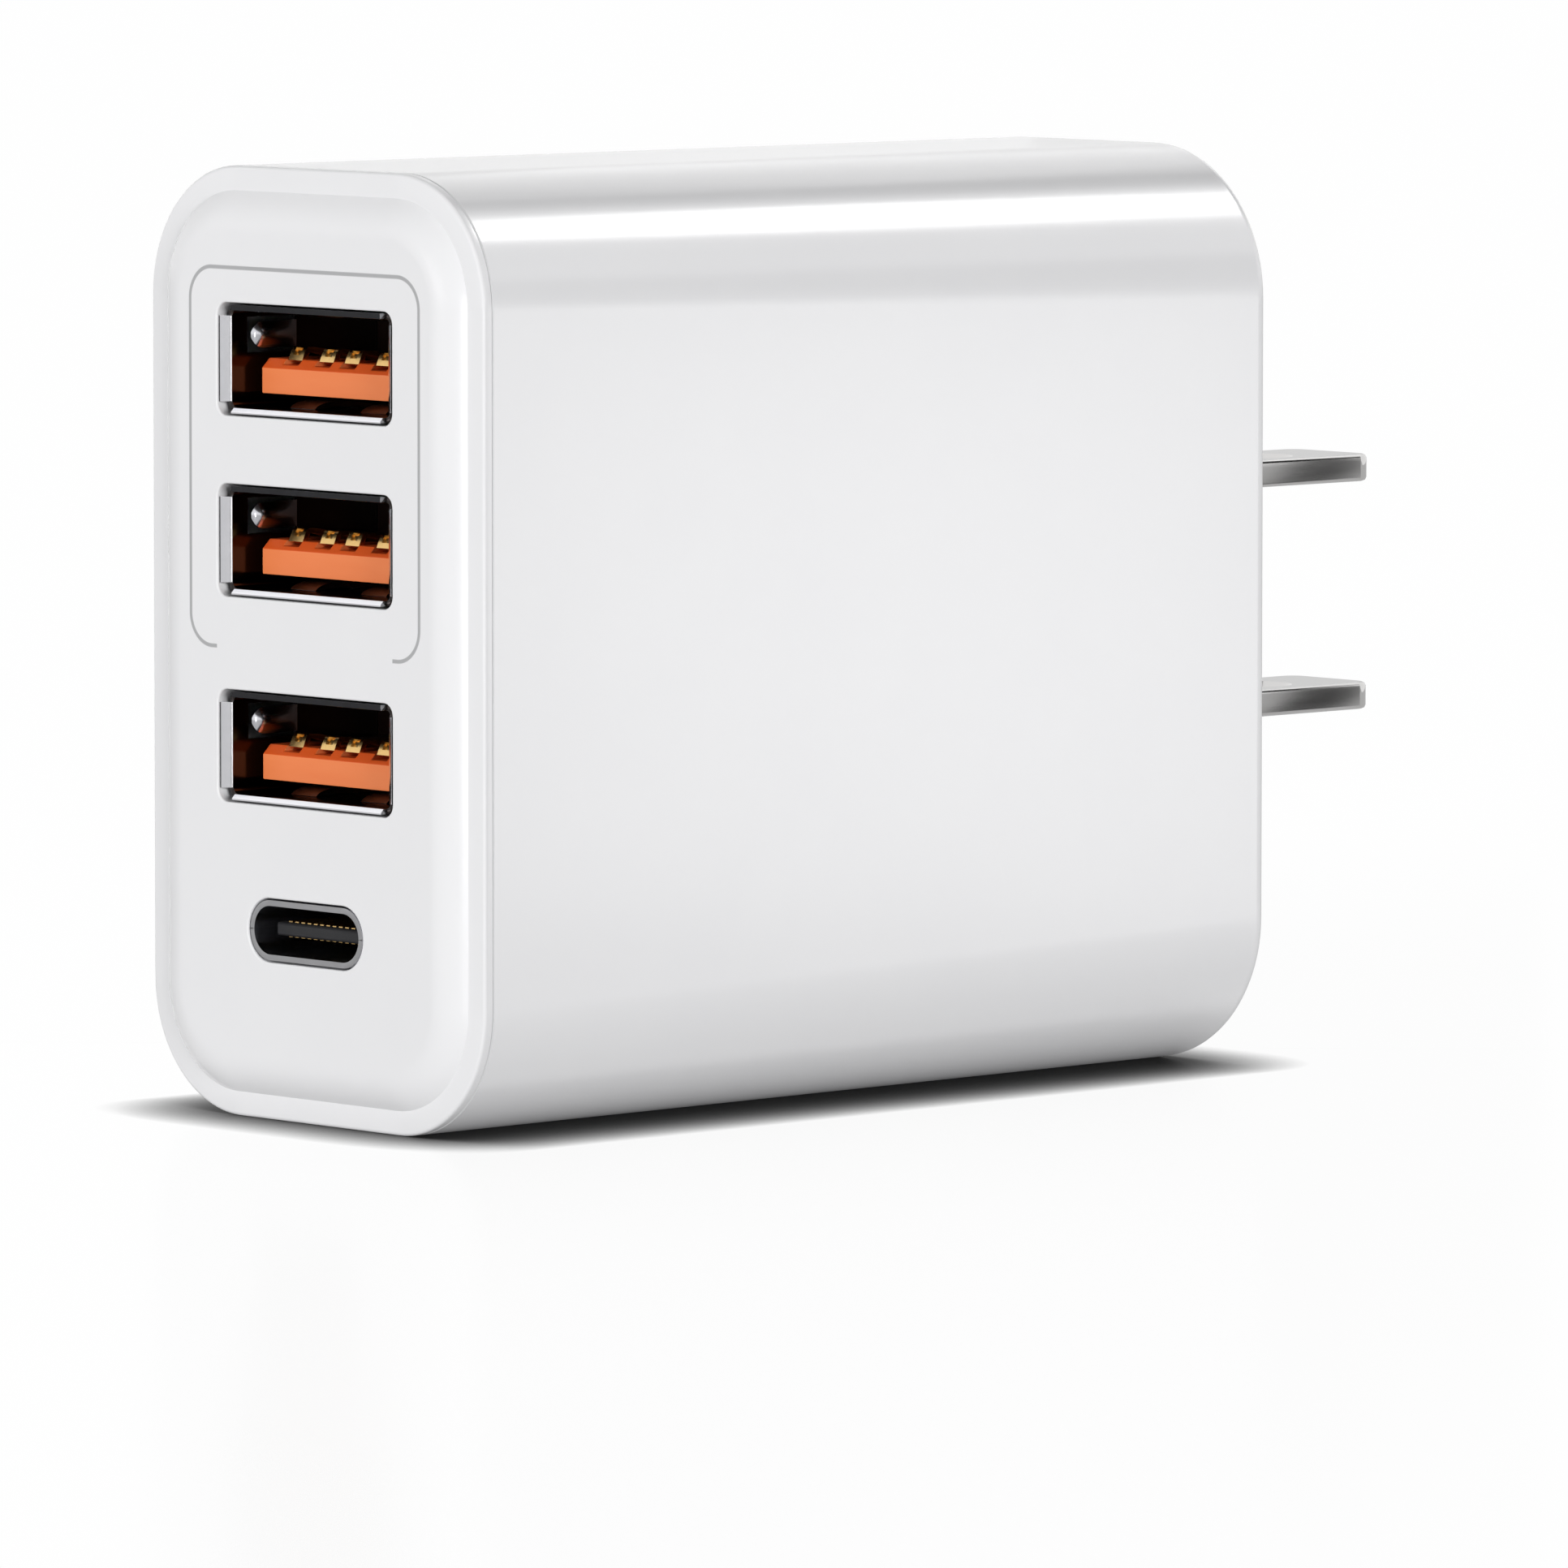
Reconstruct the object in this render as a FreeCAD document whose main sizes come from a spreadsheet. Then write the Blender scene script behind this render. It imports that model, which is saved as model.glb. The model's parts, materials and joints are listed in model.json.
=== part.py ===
import FreeCAD, Part
import math
import os
import Sketcher

# A wall charger with three USB-A sockets and one USB-C socket in a moulded front cover,
# a hollow housing and two flat mains blades.
# Millimetres. X runs across the narrow side, Y points out along the blades, Z is up.
# The origin lies on the back face, midway between the blades, so the front has negative Y.

SIZES = {
    # Casing
    "body_height": 50.0,
    "body_width": 26.5,
    "body_depth": 56.7,
    "corner_radius": 6.9,
    "wall": 1.8,
    "back_wall": 2.2,
    "back_edge_bevel": 0.6,
    "seam_chamfer": 0.15,
    # Front cover
    "rim_thickness": 0.6,
    "rim_width": 1.3,
    "rim_edge_bevel": 0.2,
    "pillow_rise": 0.85,
    "pillow_radius": 3.0,
    "lip_depth": 3.0,
    "lip_wall": 1.2,
    "lip_clearance": 0.1,
    "port_clearance": 0.1,
    # Sockets, seen from the front
    "inner_port_height": 5.4,
    "outer_port_margin": 10.1,
    "mouth_setback": 0.1,
    "port_depth": 13.0,
    "socket_fit": 0.03,
    # Wide sockets
    "usb_a_width": 12.5,
    "usb_a_height": 5.12,
    "usb_a_sheet": 0.3,
    "usb_a_corner": 0.3,
    "usb_a_mouth_bevel": 0.14,
    "usb_a_flare": 0.3,
    "usb_a_flare_depth": 0.4,
    "usb_a_flare_gap": 0.1,
    "usb_a_tongue_width": 11.1,
    "usb_a_tongue_thick": 1.84,
    "usb_a_tongue_gap": 0.72,
    "usb_a_tongue_setback": 1.8,
    "usb_a_tongue_chamfer": 0.5,
    "usb_a_base": 2.6,
    "usb_a_groove": 0.3,
    "usb_a_groove_clearance": 0.06,
    "usb_a_contact_width": 1.1,
    "usb_a_contact_thick": 0.25,
    "usb_a_contact_rise": 0.7,
    "usb_a_contact_nose": 0.55,
    "usb_a_contact_front": 0.45,
    "usb_a_contact_bend": 4.0,
    "usb_a_inner_contact": 1.0,
    "usb_a_outer_contact": 3.5,
    "leaf_width": 2.0,
    "leaf_length": 5.0,
    "leaf_rise": 0.4,
    "leaf_gap": 0.25,
    "leaf_spacing": 5.6,
    "leaf_setback": 2.0,
    "side_leaf_width": 1.4,
    "side_leaf_length": 3.4,
    "side_leaf_rise": 0.5,
    "side_leaf_level": 1.2,
    "side_leaf_setback": 1.4,
    # Small socket
    "usb_c_width": 8.34,
    "usb_c_height": 2.56,
    "usb_c_sheet": 0.3,
    "usb_c_mouth_bevel": 0.14,
    "usb_c_tongue_width": 6.69,
    "usb_c_tongue_thick": 0.7,
    "usb_c_tongue_setback": 0.8,
    "usb_c_tongue_round": 0.2,
    "usb_c_base": 2.2,
    "usb_c_contact_pitch": 0.5,
    "usb_c_contact_width": 0.28,
    "usb_c_contact_thick": 0.08,
    "usb_c_contact_nose": 0.5,
    # Mains blades
    "blade_pitch": 12.7,
    "blade_width": 6.35,
    "blade_thick": 1.5,
    "blade_length": 18.2,
    "blade_corner": 1.1,
    "blade_edge_bevel": 0.22,
    "blade_hole": 3.2,
    "blade_hole_place": 11.9,
    "blade_countersink": 0.55,
    "blade_slot_clearance": 0.08,
    "blade_stop_width": 9.0,
    "blade_stop": 3.0,
    # Blade carrier and its fence on the back wall
    "carrier_margin": 2.2,
    "carrier_depth": 5.0,
    "carrier_corner": 0.8,
    "fence_clearance": 0.1,
    "fence_wall": 1.0,
    "fence_depth": 2.0,
    # Strips from the blades to the board
    "spring_thick": 0.4,
    "spring_inset": 0.2,
    "spring_reach": 2.0,
    "spring_foot": 3.0,
    # Boards
    "port_board_thick": 1.2,
    "port_board_gap": 0.5,
    "main_board_thick": 1.6,
    "board_standoff": 2.4,
    "board_edge_gap": 2.0,
    "board_end_gap": 0.5,
    "board_rib_wall": 1.4,
    "board_rib_height": 14.0,
    "film_thick": 0.3,
    "film_margin": 0.4,
    # Transformer
    "core_width": 16.0,
    "core_height": 14.0,
    "core_thick": 5.0,
    "core_leg": 2.2,
    "core_centre_leg": 4.6,
    "bobbin_depth": 13.0,
    "bobbin_wall": 0.6,
    "bobbin_flange": 0.8,
    "bobbin_clearance": 0.12,
    "winding_margin": 0.5,
    "winding_corner": 1.6,
    "transformer_place": 16.0,
    "transformer_level": 7.0,
    # Electrolytic capacitors
    "bulk_diameter": 8.0,
    "bulk_length": 14.0,
    "bulk_from_rear": 6.0,
    "bulk_gap": 2.0,
    "output_diameter": 6.3,
    "output_length": 9.0,
    "output_place": 4.0,
    "output_upper_level": 16.0,
    "output_lower_level": 8.0,
    "can_edge_bevel": 0.4,
    # Filter choke
    "choke_diameter": 8.5,
    "choke_length": 9.0,
    "choke_flange": 1.0,
    "choke_stem": 3.6,
    "choke_winding_inset": 0.4,
    "choke_fit": 0.1,
    "choke_place": 12.8,
    "choke_edge": 0.8,
    # Fuse
    "fuse_length": 8.4,
    "fuse_width": 4.2,
    "fuse_height": 7.6,
    "fuse_bevel": 0.5,
    "fuse_place": 19.8,
    "fuse_edge": 1.0,
    # Disc capacitor between the two sides of the mains barrier
    "disc_diameter": 7.0,
    "disc_thick": 3.2,
    "disc_bevel": 0.8,
    "disc_leg": 1.5,
    "disc_leg_width": 0.6,
    "disc_leg_spacing": 5.0,
    "disc_place": 9.0,
    "disc_level": -5.5,
    # Chips: length along the rows of leads, span over the leads
    "lead_thick": 0.2,
    "chip_bevel": 0.25,
    "bridge_length": 4.9,
    "bridge_width": 4.0,
    "bridge_span": 7.0,
    "bridge_height": 1.6,
    "bridge_pitch": 2.5,
    "bridge_lead": 0.7,
    "bridge_place": 25.8,
    "bridge_level": -5.5,
    "opto_length": 4.6,
    "opto_width": 6.5,
    "opto_span": 9.0,
    "opto_height": 3.2,
    "opto_pitch": 2.54,
    "opto_lead": 0.8,
    "opto_place": 17.3,
    "opto_level": -5.5,
    "driver_length": 4.9,
    "driver_width": 3.9,
    "driver_span": 6.0,
    "driver_height": 1.5,
    "driver_pitch": 1.27,
    "driver_lead": 0.42,
    "controller_place": 19.5,
    "controller_edge": 0.7,
    "rectifier_place": 4.5,
    "rectifier_level": -1.0,
    "protocol_length": 3.0,
    "protocol_width": 3.0,
    "protocol_span": 3.2,
    "protocol_height": 0.8,
    "protocol_pitch": 0.5,
    "protocol_lead": 0.25,
}

# Places that several pieces share, as expressions. A depth is measured from the back face forwards.
INNER_HEIGHT = "(Sizes.body_height - 2 * Sizes.wall)"
SEAM_DEPTH = "(Sizes.body_depth - Sizes.rim_thickness)"
FRONT_DEPTH = "(Sizes.body_depth + Sizes.pillow_rise)"
MOUTH_DEPTH = f"({FRONT_DEPTH} - Sizes.mouth_setback)"
PORT_BOARD_FRONT = f"({MOUTH_DEPTH} - Sizes.port_depth)"
PORT_BOARD_REAR = f"({PORT_BOARD_FRONT} - Sizes.port_board_thick)"
CARRIER_REAR = "(Sizes.back_wall + Sizes.carrier_depth)"
CARRIER_WIDTH = "(Sizes.blade_width + 2 * Sizes.carrier_margin)"
CARRIER_HEIGHT = "(Sizes.blade_pitch + Sizes.blade_thick + 2 * Sizes.carrier_margin)"
STRIP_TOP = "((Sizes.blade_pitch + Sizes.blade_thick) / 2 + Sizes.spring_thick + Sizes.spring_foot)"
BOARD_UNDERSIDE = "(-Sizes.body_width / 2 + Sizes.wall + Sizes.board_standoff)"
BOARD_FACE = f"({BOARD_UNDERSIDE} + Sizes.main_board_thick)"
BOARD_TOP = f"({INNER_HEIGHT} / 2 - Sizes.board_edge_gap)"
BOARD_REAR = "(Sizes.back_wall + Sizes.board_end_gap)"
SHELL_A_WIDTH = "(Sizes.usb_a_width + 2 * Sizes.usb_a_sheet)"
SHELL_A_HEIGHT = "(Sizes.usb_a_height + 2 * Sizes.usb_a_sheet)"
SHELL_A_CORNER = "(Sizes.usb_a_corner + Sizes.usb_a_sheet)"
TONGUE_A_LOW = "(-Sizes.usb_a_height / 2 + Sizes.usb_a_tongue_gap)"
TONGUE_A_TOP = f"({TONGUE_A_LOW} + Sizes.usb_a_tongue_thick)"
GROOVE_FLOOR = f"({TONGUE_A_TOP} - Sizes.usb_a_groove)"
SHELL_C_WIDTH = "(Sizes.usb_c_width + 2 * Sizes.usb_c_sheet)"
SHELL_C_HEIGHT = "(Sizes.usb_c_height + 2 * Sizes.usb_c_sheet)"
TRANSFORMER_AXIS = "(Sizes.bobbin_depth / 2)"
CORE_WINDOW = "(Sizes.core_height - 2 * Sizes.core_leg)"

OUTER_PORT_LEVEL = "(Sizes.body_height / 2 - Sizes.outer_port_margin)"
SOCKET_LEVELS = (OUTER_PORT_LEVEL, "Sizes.inner_port_height", "-Sizes.inner_port_height")
SMALL_SOCKET_LEVEL = f"-{OUTER_PORT_LEVEL}"
CONTACT_PLACES = ("-Sizes.usb_a_outer_contact", "-Sizes.usb_a_inner_contact",
                  "Sizes.usb_a_inner_contact", "Sizes.usb_a_outer_contact")
SMALL_CONTACTS_IN_ROW = 12
ARC_STEP = math.pi / 2
TOUCH = 1e-4

doc = FreeCAD.newDocument("wall_charger")
sheet = doc.addObject("Spreadsheet::Sheet", "Sizes")
for row, (alias, size) in enumerate(SIZES.items(), start=1):
    sheet.set(f"A{row}", alias)
    sheet.set(f"B{row}", str(size))
    sheet.setAlias(f"B{row}", alias)
doc.recompute()
pieces = []


def value(expression):
    """Number that an expression gives with the sheet's sizes."""
    return float(sheet.evalExpression(expression))


# Sketches

def sketch_on(body, role, offset="0"):
    """Empty sketch on one of the body's own planes, moved along the plane's normal."""
    sketch = body.newObject("Sketcher::SketchObject", "Sketch")
    plane = next(feature for feature in body.Origin.OriginFeatures if feature.Role == role)
    sketch.AttachmentSupport = [(plane, "")]
    sketch.MapMode = "FlatFace"
    sketch.setExpression("AttachmentOffset.Base.z", offset)
    return sketch


def fix(sketch, kind, *reference, size):
    """Add a dimension and bind it to an expression."""
    dimension = Sketcher.Constraint(kind, *reference, value(size))
    dimension.Name = f"{kind}_{sketch.ConstraintCount}"
    sketch.addConstraint(dimension)
    sketch.setExpression(f"Constraints.{dimension.Name}", size)


def fix_point(sketch, geometry, point, across, along):
    """Bind both coordinates of a sketch point."""
    fix(sketch, "DistanceX", geometry, point, size=across)
    fix(sketch, "DistanceY", geometry, point, size=along)


def outline(sketch, corners):
    """Closed polygon with a pair of expressions for each corner."""
    spots = [FreeCAD.Vector(value(across), value(along), 0) for across, along in corners]
    first = sketch.GeometryCount
    for start, end in zip(spots, spots[1:] + spots[:1]):
        sketch.addGeometry(Part.LineSegment(start, end), False)
    for index, (across, along) in enumerate(corners):
        before = first + (index - 1) % len(corners)
        sketch.addConstraint(Sketcher.Constraint("Coincident", before, 2, first + index, 1))
        fix_point(sketch, first + index, 1, across, along)


def rectangle(sketch, left, right, low, high):
    outline(sketch, ((left, low), (right, low), (right, high), (left, high)))


def centred_rectangle(sketch, width, height, across="0", along="0"):
    rectangle(sketch, f"{across} - ({width}) / 2", f"{across} + ({width}) / 2",
              f"{along} - ({height}) / 2", f"{along} + ({height}) / 2")


def arc_loop(sketch, centres, radius, sweep, first_angle):
    """Arcs of one radius in turning order, joined by tangent lines."""
    first = sketch.GeometryCount
    up = FreeCAD.Vector(0, 0, 1)
    arcs = []
    for index, (across, along) in enumerate(centres):
        centre = FreeCAD.Vector(value(across), value(along), 0)
        start = first_angle + index * sweep
        arcs.append(Part.ArcOfCircle(Part.Circle(centre, up, value(radius)), start, start + sweep))
    sketch.addGeometry(arcs, False)
    for arc, following in zip(arcs, arcs[1:] + arcs[:1]):
        sketch.addGeometry(Part.LineSegment(arc.EndPoint, following.StartPoint), False)
    count = len(arcs)
    for index, (across, along) in enumerate(centres):
        arc = first + index
        line = arc + count
        following = first + (index + 1) % count
        sketch.addConstraint(Sketcher.Constraint("Tangent", arc, 2, line, 1))
        sketch.addConstraint(Sketcher.Constraint("Tangent", line, 2, following, 1))
        fix_point(sketch, arc, 3, across, along)
        fix(sketch, "Radius", arc, size=radius)


def rounded_rectangle(sketch, width, height, radius, across="0"):
    reach = f"(({width}) / 2 - ({radius}))"
    rise = f"(({height}) / 2 - ({radius}))"
    centres = ((f"{across} + {reach}", f"-{rise}"), (f"{across} + {reach}", rise),
               (f"{across} - {reach}", rise), (f"{across} - {reach}", f"-{rise}"))
    arc_loop(sketch, centres, radius, ARC_STEP, -ARC_STEP)


def stadium(sketch, width, height):
    reach = f"(({width}) - ({height})) / 2"
    arc_loop(sketch, ((reach, "0"), (f"-{reach}", "0")), f"({height}) / 2", 2 * ARC_STEP, -ARC_STEP)


def circle(sketch, across, along, radius):
    centre = FreeCAD.Vector(value(across), value(along), 0)
    index = sketch.addGeometry(Part.Circle(centre, FreeCAD.Vector(0, 0, 1), value(radius)), False)
    fix_point(sketch, index, 3, across, along)
    fix(sketch, "Radius", index, size=radius)


# Features

def new_body(label):
    body = doc.addObject("PartDesign::Body", label)
    body.Label = label
    pieces.append(body)
    return body


def place(piece, across="0", along="0", level="0"):
    """Bind a piece's place in the charger."""
    piece.setExpression("Placement.Base.x", across)
    piece.setExpression("Placement.Base.y", along)
    piece.setExpression("Placement.Base.z", level)


def pad(body, sketch, length, reverse=False, both_ways=False):
    feature = body.newObject("PartDesign::Pad", "Pad")
    feature.Profile = sketch
    feature.setExpression("Length", length)
    feature.Reversed = reverse
    if both_ways:
        feature.SideType = "Symmetric"
    doc.recompute()


def pocket(body, sketch, reverse=False, both_ways=False):
    """Cut a sketch through everything on one side of it, or on both sides."""
    before = body.Shape.Volume
    feature = body.newObject("PartDesign::Pocket", "Pocket")
    feature.Profile = sketch
    feature.Type = "ThroughAll"
    feature.Reversed = reverse
    if both_ways:
        feature.SideType = "Symmetric"
    doc.recompute()
    if not body.Shape.Volume < before:
        raise ValueError(f"{body.Label}: a cut removed nothing")


def revolve(body, sketch):
    """Turn a sketch about its own horizontal axis."""
    feature = body.newObject("PartDesign::Revolution", "Revolution")
    feature.Profile = sketch
    feature.ReferenceAxis = (sketch, ["H_Axis"])
    feature.Angle = 360
    doc.recompute()


def dress(body, kind, size, chosen):
    """Fillet or chamfer the edges that a test picks."""
    base = body.Tip
    names = [f"Edge{index}" for index, edge in enumerate(base.Shape.Edges, start=1) if chosen(edge)]
    if not names:
        raise ValueError(f"{body.Label}: no edge to dress")
    feature = body.newObject(f"PartDesign::{kind}", kind)
    feature.Base = (base, names)
    feature.setExpression("Radius" if kind == "Fillet" else "Size", size)
    doc.recompute()


def near(first, second):
    return abs(first - second) < TOUCH


def outer_edge(depth):
    """Test for edges of the casing's outer outline at a depth."""
    half_width = value("Sizes.body_width / 2")
    half_height = value("Sizes.body_height / 2")

    def chosen(edge):
        box = edge.BoundBox
        flat = near(box.YMin, -value(depth)) and near(box.YMax, -value(depth))
        return flat and (near(max(-box.XMin, box.XMax), half_width)
                         or near(max(-box.ZMin, box.ZMax), half_height))
    return chosen


def edge_at_depth(depth):
    """Test for every edge that lies flat at a depth."""
    def chosen(edge):
        return near(edge.BoundBox.YMin, -value(depth)) and near(edge.BoundBox.YMax, -value(depth))
    return chosen


def mouth_edge(width, height):
    """Test for the inner edges of a shell at its mouth."""
    half_width = value(width) / 2 + TOUCH
    half_height = value(height) / 2 + TOUCH

    def chosen(edge):
        box = edge.BoundBox
        inside = max(-box.XMin, box.XMax) < half_width and max(-box.ZMin, box.ZMax) < half_height
        return inside and edge_at_depth(MOUTH_DEPTH)(edge)
    return chosen


# Casing

def body_outline(sketch, inset="0"):
    """The casing's outline, moved inwards."""
    rounded_rectangle(sketch, f"Sizes.body_width - 2 * ({inset})", f"Sizes.body_height - 2 * ({inset})",
                      f"Sizes.corner_radius - ({inset})")


def main_housing():
    body = new_body("main_housing")
    sleeve = sketch_on(body, "XZ_Plane")
    body_outline(sleeve)
    pad(body, sleeve, SEAM_DEPTH)
    dress(body, "Chamfer", "Sizes.back_edge_bevel", outer_edge("0"))
    dress(body, "Chamfer", "Sizes.seam_chamfer", outer_edge(SEAM_DEPTH))
    cavity = sketch_on(body, "XZ_Plane", "Sizes.back_wall")
    body_outline(cavity, "Sizes.wall")
    pocket(body, cavity, reverse=True)
    board_ribs(body)
    carrier_fence(body)
    slots = sketch_on(body, "XZ_Plane", "Sizes.back_wall")
    for level in ("Sizes.blade_pitch / 2", "-Sizes.blade_pitch / 2"):
        centred_rectangle(slots, "Sizes.blade_width + 2 * Sizes.blade_slot_clearance",
                          "Sizes.blade_thick + 2 * Sizes.blade_slot_clearance", along=level)
    pocket(body, slots)


def board_ribs(body):
    """Two ribs along the side wall, which the main board rests on."""
    ribs = sketch_on(body, "XZ_Plane", "Sizes.back_wall")
    for level in ("Sizes.board_rib_height", "-Sizes.board_rib_height"):
        rectangle(ribs, "-(Sizes.body_width - Sizes.wall) / 2", BOARD_UNDERSIDE,
                  f"{level} - Sizes.board_rib_wall / 2", f"{level} + Sizes.board_rib_wall / 2")
    pad(body, ribs, f"{PORT_BOARD_REAR} - Sizes.back_wall")


def carrier_fence(body):
    """Low wall round the blade carrier."""
    fence = sketch_on(body, "XZ_Plane", "Sizes.back_wall")
    for growth in ("2 * Sizes.fence_clearance", "2 * (Sizes.fence_clearance + Sizes.fence_wall)"):
        centred_rectangle(fence, f"{CARRIER_WIDTH} + {growth}", f"{CARRIER_HEIGHT} + {growth}")
    pad(body, fence, "Sizes.fence_depth")


def front_cover():
    """Rim, raised centre panel with round shoulders, lip inside the housing and socket openings."""
    body = new_body("front_cover")
    shoulder = "Sizes.pillow_radius"
    foot = f"({shoulder} - sqrt({shoulder} ^ 2 - ({shoulder} - Sizes.pillow_rise) ^ 2))"
    panel = sketch_on(body, "XZ_Plane", f"{FRONT_DEPTH} - 2 * {shoulder}")
    body_outline(panel, f"Sizes.rim_width - {foot}")
    pad(body, panel, f"2 * {shoulder}")
    dress(body, "Fillet", shoulder, edge_at_depth(FRONT_DEPTH))
    trim = sketch_on(body, "XZ_Plane", SEAM_DEPTH)
    centred_rectangle(trim, "Sizes.body_width", "Sizes.body_height")
    pocket(body, trim)
    rim = sketch_on(body, "XZ_Plane", SEAM_DEPTH)
    body_outline(rim)
    pad(body, rim, "Sizes.rim_thickness")
    dress(body, "Chamfer", "Sizes.rim_edge_bevel", outer_edge("Sizes.body_depth"))
    dress(body, "Chamfer", "Sizes.seam_chamfer", outer_edge(SEAM_DEPTH))
    lip = sketch_on(body, "XZ_Plane", SEAM_DEPTH)
    body_outline(lip, "Sizes.wall + Sizes.lip_clearance")
    body_outline(lip, "Sizes.wall + Sizes.lip_clearance + Sizes.lip_wall")
    pad(body, lip, "Sizes.lip_depth", reverse=True)
    for level in SOCKET_LEVELS:
        wide = sketch_on(body, "XZ_Plane")
        wide.setExpression("AttachmentOffset.Base.y", level)
        rounded_rectangle(wide, f"{SHELL_A_WIDTH} + 2 * (Sizes.usb_a_flare + Sizes.port_clearance)",
                          f"{SHELL_A_HEIGHT} + 2 * Sizes.port_clearance",
                          f"{SHELL_A_CORNER} + Sizes.port_clearance")
        pocket(body, wide, reverse=True)
    small = sketch_on(body, "XZ_Plane")
    small.setExpression("AttachmentOffset.Base.y", SMALL_SOCKET_LEVEL)
    stadium(small, f"{SHELL_C_WIDTH} + 2 * Sizes.port_clearance",
            f"{SHELL_C_HEIGHT} + 2 * Sizes.port_clearance")
    pocket(body, small, reverse=True)


# Mains plug

def blade(label, level):
    """Flat blade with round tip corners, bevelled edges, a countersunk hole and a wide stop."""
    body = new_body(label)
    half = "Sizes.blade_width / 2"
    stop = "Sizes.blade_stop_width / 2"
    tip = "Sizes.blade_length"
    shoulder = f"-{CARRIER_REAR}"
    tail = f"-({CARRIER_REAR} + Sizes.blade_stop)"
    right = ((half, tip), (half, shoulder), (stop, shoulder), (stop, tail))
    left = tuple((f"-({across})", along) for across, along in reversed(right))
    plan = sketch_on(body, "XY_Plane")
    outline(plan, right + left)
    pad(body, plan, "Sizes.blade_thick", both_ways=True)
    dress(body, "Fillet", "Sizes.blade_corner", lambda edge: near(edge.BoundBox.YMin, value(tip))
          and edge.BoundBox.ZLength > TOUCH)
    dress(body, "Chamfer", "Sizes.blade_edge_bevel", lambda edge: edge.BoundBox.ZLength < TOUCH
          and edge.BoundBox.YMax > TOUCH)
    hole = sketch_on(body, "XY_Plane")
    circle(hole, "0", "Sizes.blade_hole_place", "Sizes.blade_hole / 2")
    pocket(body, hole, both_ways=True)
    dress(body, "Chamfer", "Sizes.blade_countersink", lambda edge: edge.isClosed())
    place(body, level=level)


def blade_carrier():
    body = new_body("blade_carrier")
    block = sketch_on(body, "XZ_Plane", "Sizes.back_wall")
    rounded_rectangle(block, CARRIER_WIDTH, CARRIER_HEIGHT, "Sizes.carrier_corner")
    pad(body, block, "Sizes.carrier_depth")
    slots = sketch_on(body, "XZ_Plane")
    for level in ("Sizes.blade_pitch / 2", "-Sizes.blade_pitch / 2"):
        centred_rectangle(slots, "Sizes.blade_width", "Sizes.blade_thick", along=level)
    pocket(body, slots, reverse=True)


def contact_strip(label, side):
    """Bent strip that lies on a blade's stop and stands against the main board."""
    body = new_body(label)
    face = "(Sizes.blade_pitch + Sizes.blade_thick) / 2"
    arm = f"{face} + Sizes.spring_thick"
    inner = f"{BOARD_FACE} + Sizes.spring_thick"
    corners = ((BOARD_FACE, face), ("Sizes.spring_reach", face), ("Sizes.spring_reach", arm),
               (inner, arm), (inner, STRIP_TOP), (BOARD_FACE, STRIP_TOP))
    profile = sketch_on(body, "XZ_Plane", f"{CARRIER_REAR} + Sizes.spring_inset")
    outline(profile, tuple((across, f"{side} * ({along})") for across, along in corners))
    pad(body, profile, "Sizes.blade_stop - 2 * Sizes.spring_inset")


# Wide sockets

def wide_shell(label, level):
    """Folded steel shell with flared side lips and sprung leaves in its floor, roof and sides."""
    body = new_body(label)
    tube = sketch_on(body, "XZ_Plane", PORT_BOARD_FRONT)
    rounded_rectangle(tube, SHELL_A_WIDTH, SHELL_A_HEIGHT, SHELL_A_CORNER)
    rounded_rectangle(tube, "Sizes.usb_a_width", "Sizes.usb_a_height", "Sizes.usb_a_corner")
    pad(body, tube, "Sizes.port_depth")
    dress(body, "Chamfer", "Sizes.usb_a_mouth_bevel",
          mouth_edge("Sizes.usb_a_width", "Sizes.usb_a_height"))
    flared_lips(body)
    leaf_front = f"-({MOUTH_DEPTH} - Sizes.leaf_setback)"
    leaf_root = f"({leaf_front} + Sizes.leaf_length)"
    places = ("-Sizes.leaf_spacing / 2", "Sizes.leaf_spacing / 2")
    windows = sketch_on(body, "XY_Plane")
    for across in places:
        rectangle(windows, f"{across} - Sizes.leaf_width / 2 - Sizes.leaf_gap",
                  f"{across} + Sizes.leaf_width / 2 + Sizes.leaf_gap", leaf_front, leaf_root)
    pocket(body, windows, both_ways=True)
    for across in places:
        for side in ("-1", "1"):
            leaf(body, across, side, leaf_front)
    side_leaves(body)
    place(body, level=level)


def flared_lips(body):
    """The side walls' front edges, cut free at the corners and bent outwards."""
    front = f"-{MOUTH_DEPTH}"
    root = f"-({MOUTH_DEPTH} - Sizes.usb_a_flare_depth)"
    relief = sketch_on(body, "YZ_Plane")
    rectangle(relief, front, root, "-Sizes.usb_a_height / 2", "Sizes.usb_a_height / 2")
    pocket(body, relief, both_ways=True)
    inner = "Sizes.usb_a_width / 2"
    outer = f"{inner} + Sizes.usb_a_sheet"
    lips = sketch_on(body, "XY_Plane")
    for side in ("-1", "1"):
        corners = ((inner, root), (f"{inner} + Sizes.usb_a_flare", front),
                   (f"{outer} + Sizes.usb_a_flare", front), (outer, root))
        outline(lips, tuple((f"{side} * ({across})", along) for across, along in corners))
    pad(body, lips, "Sizes.usb_a_height - 2 * Sizes.usb_a_flare_gap", both_ways=True)


def bow(front, length, wall, rise):
    """Profile of a leaf: fixed at its root, bowed into the socket, free at its front end."""
    outer = f"{wall} + Sizes.usb_a_sheet"
    root = f"({front} + {length})"
    free = f"({front} + Sizes.leaf_gap)"
    crest = f"({front} + {length} / 3)"
    return ((root, wall), (crest, f"{wall} - {rise}"), (free, wall),
            (free, outer), (crest, f"{outer} - {rise}"), (root, outer))


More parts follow.
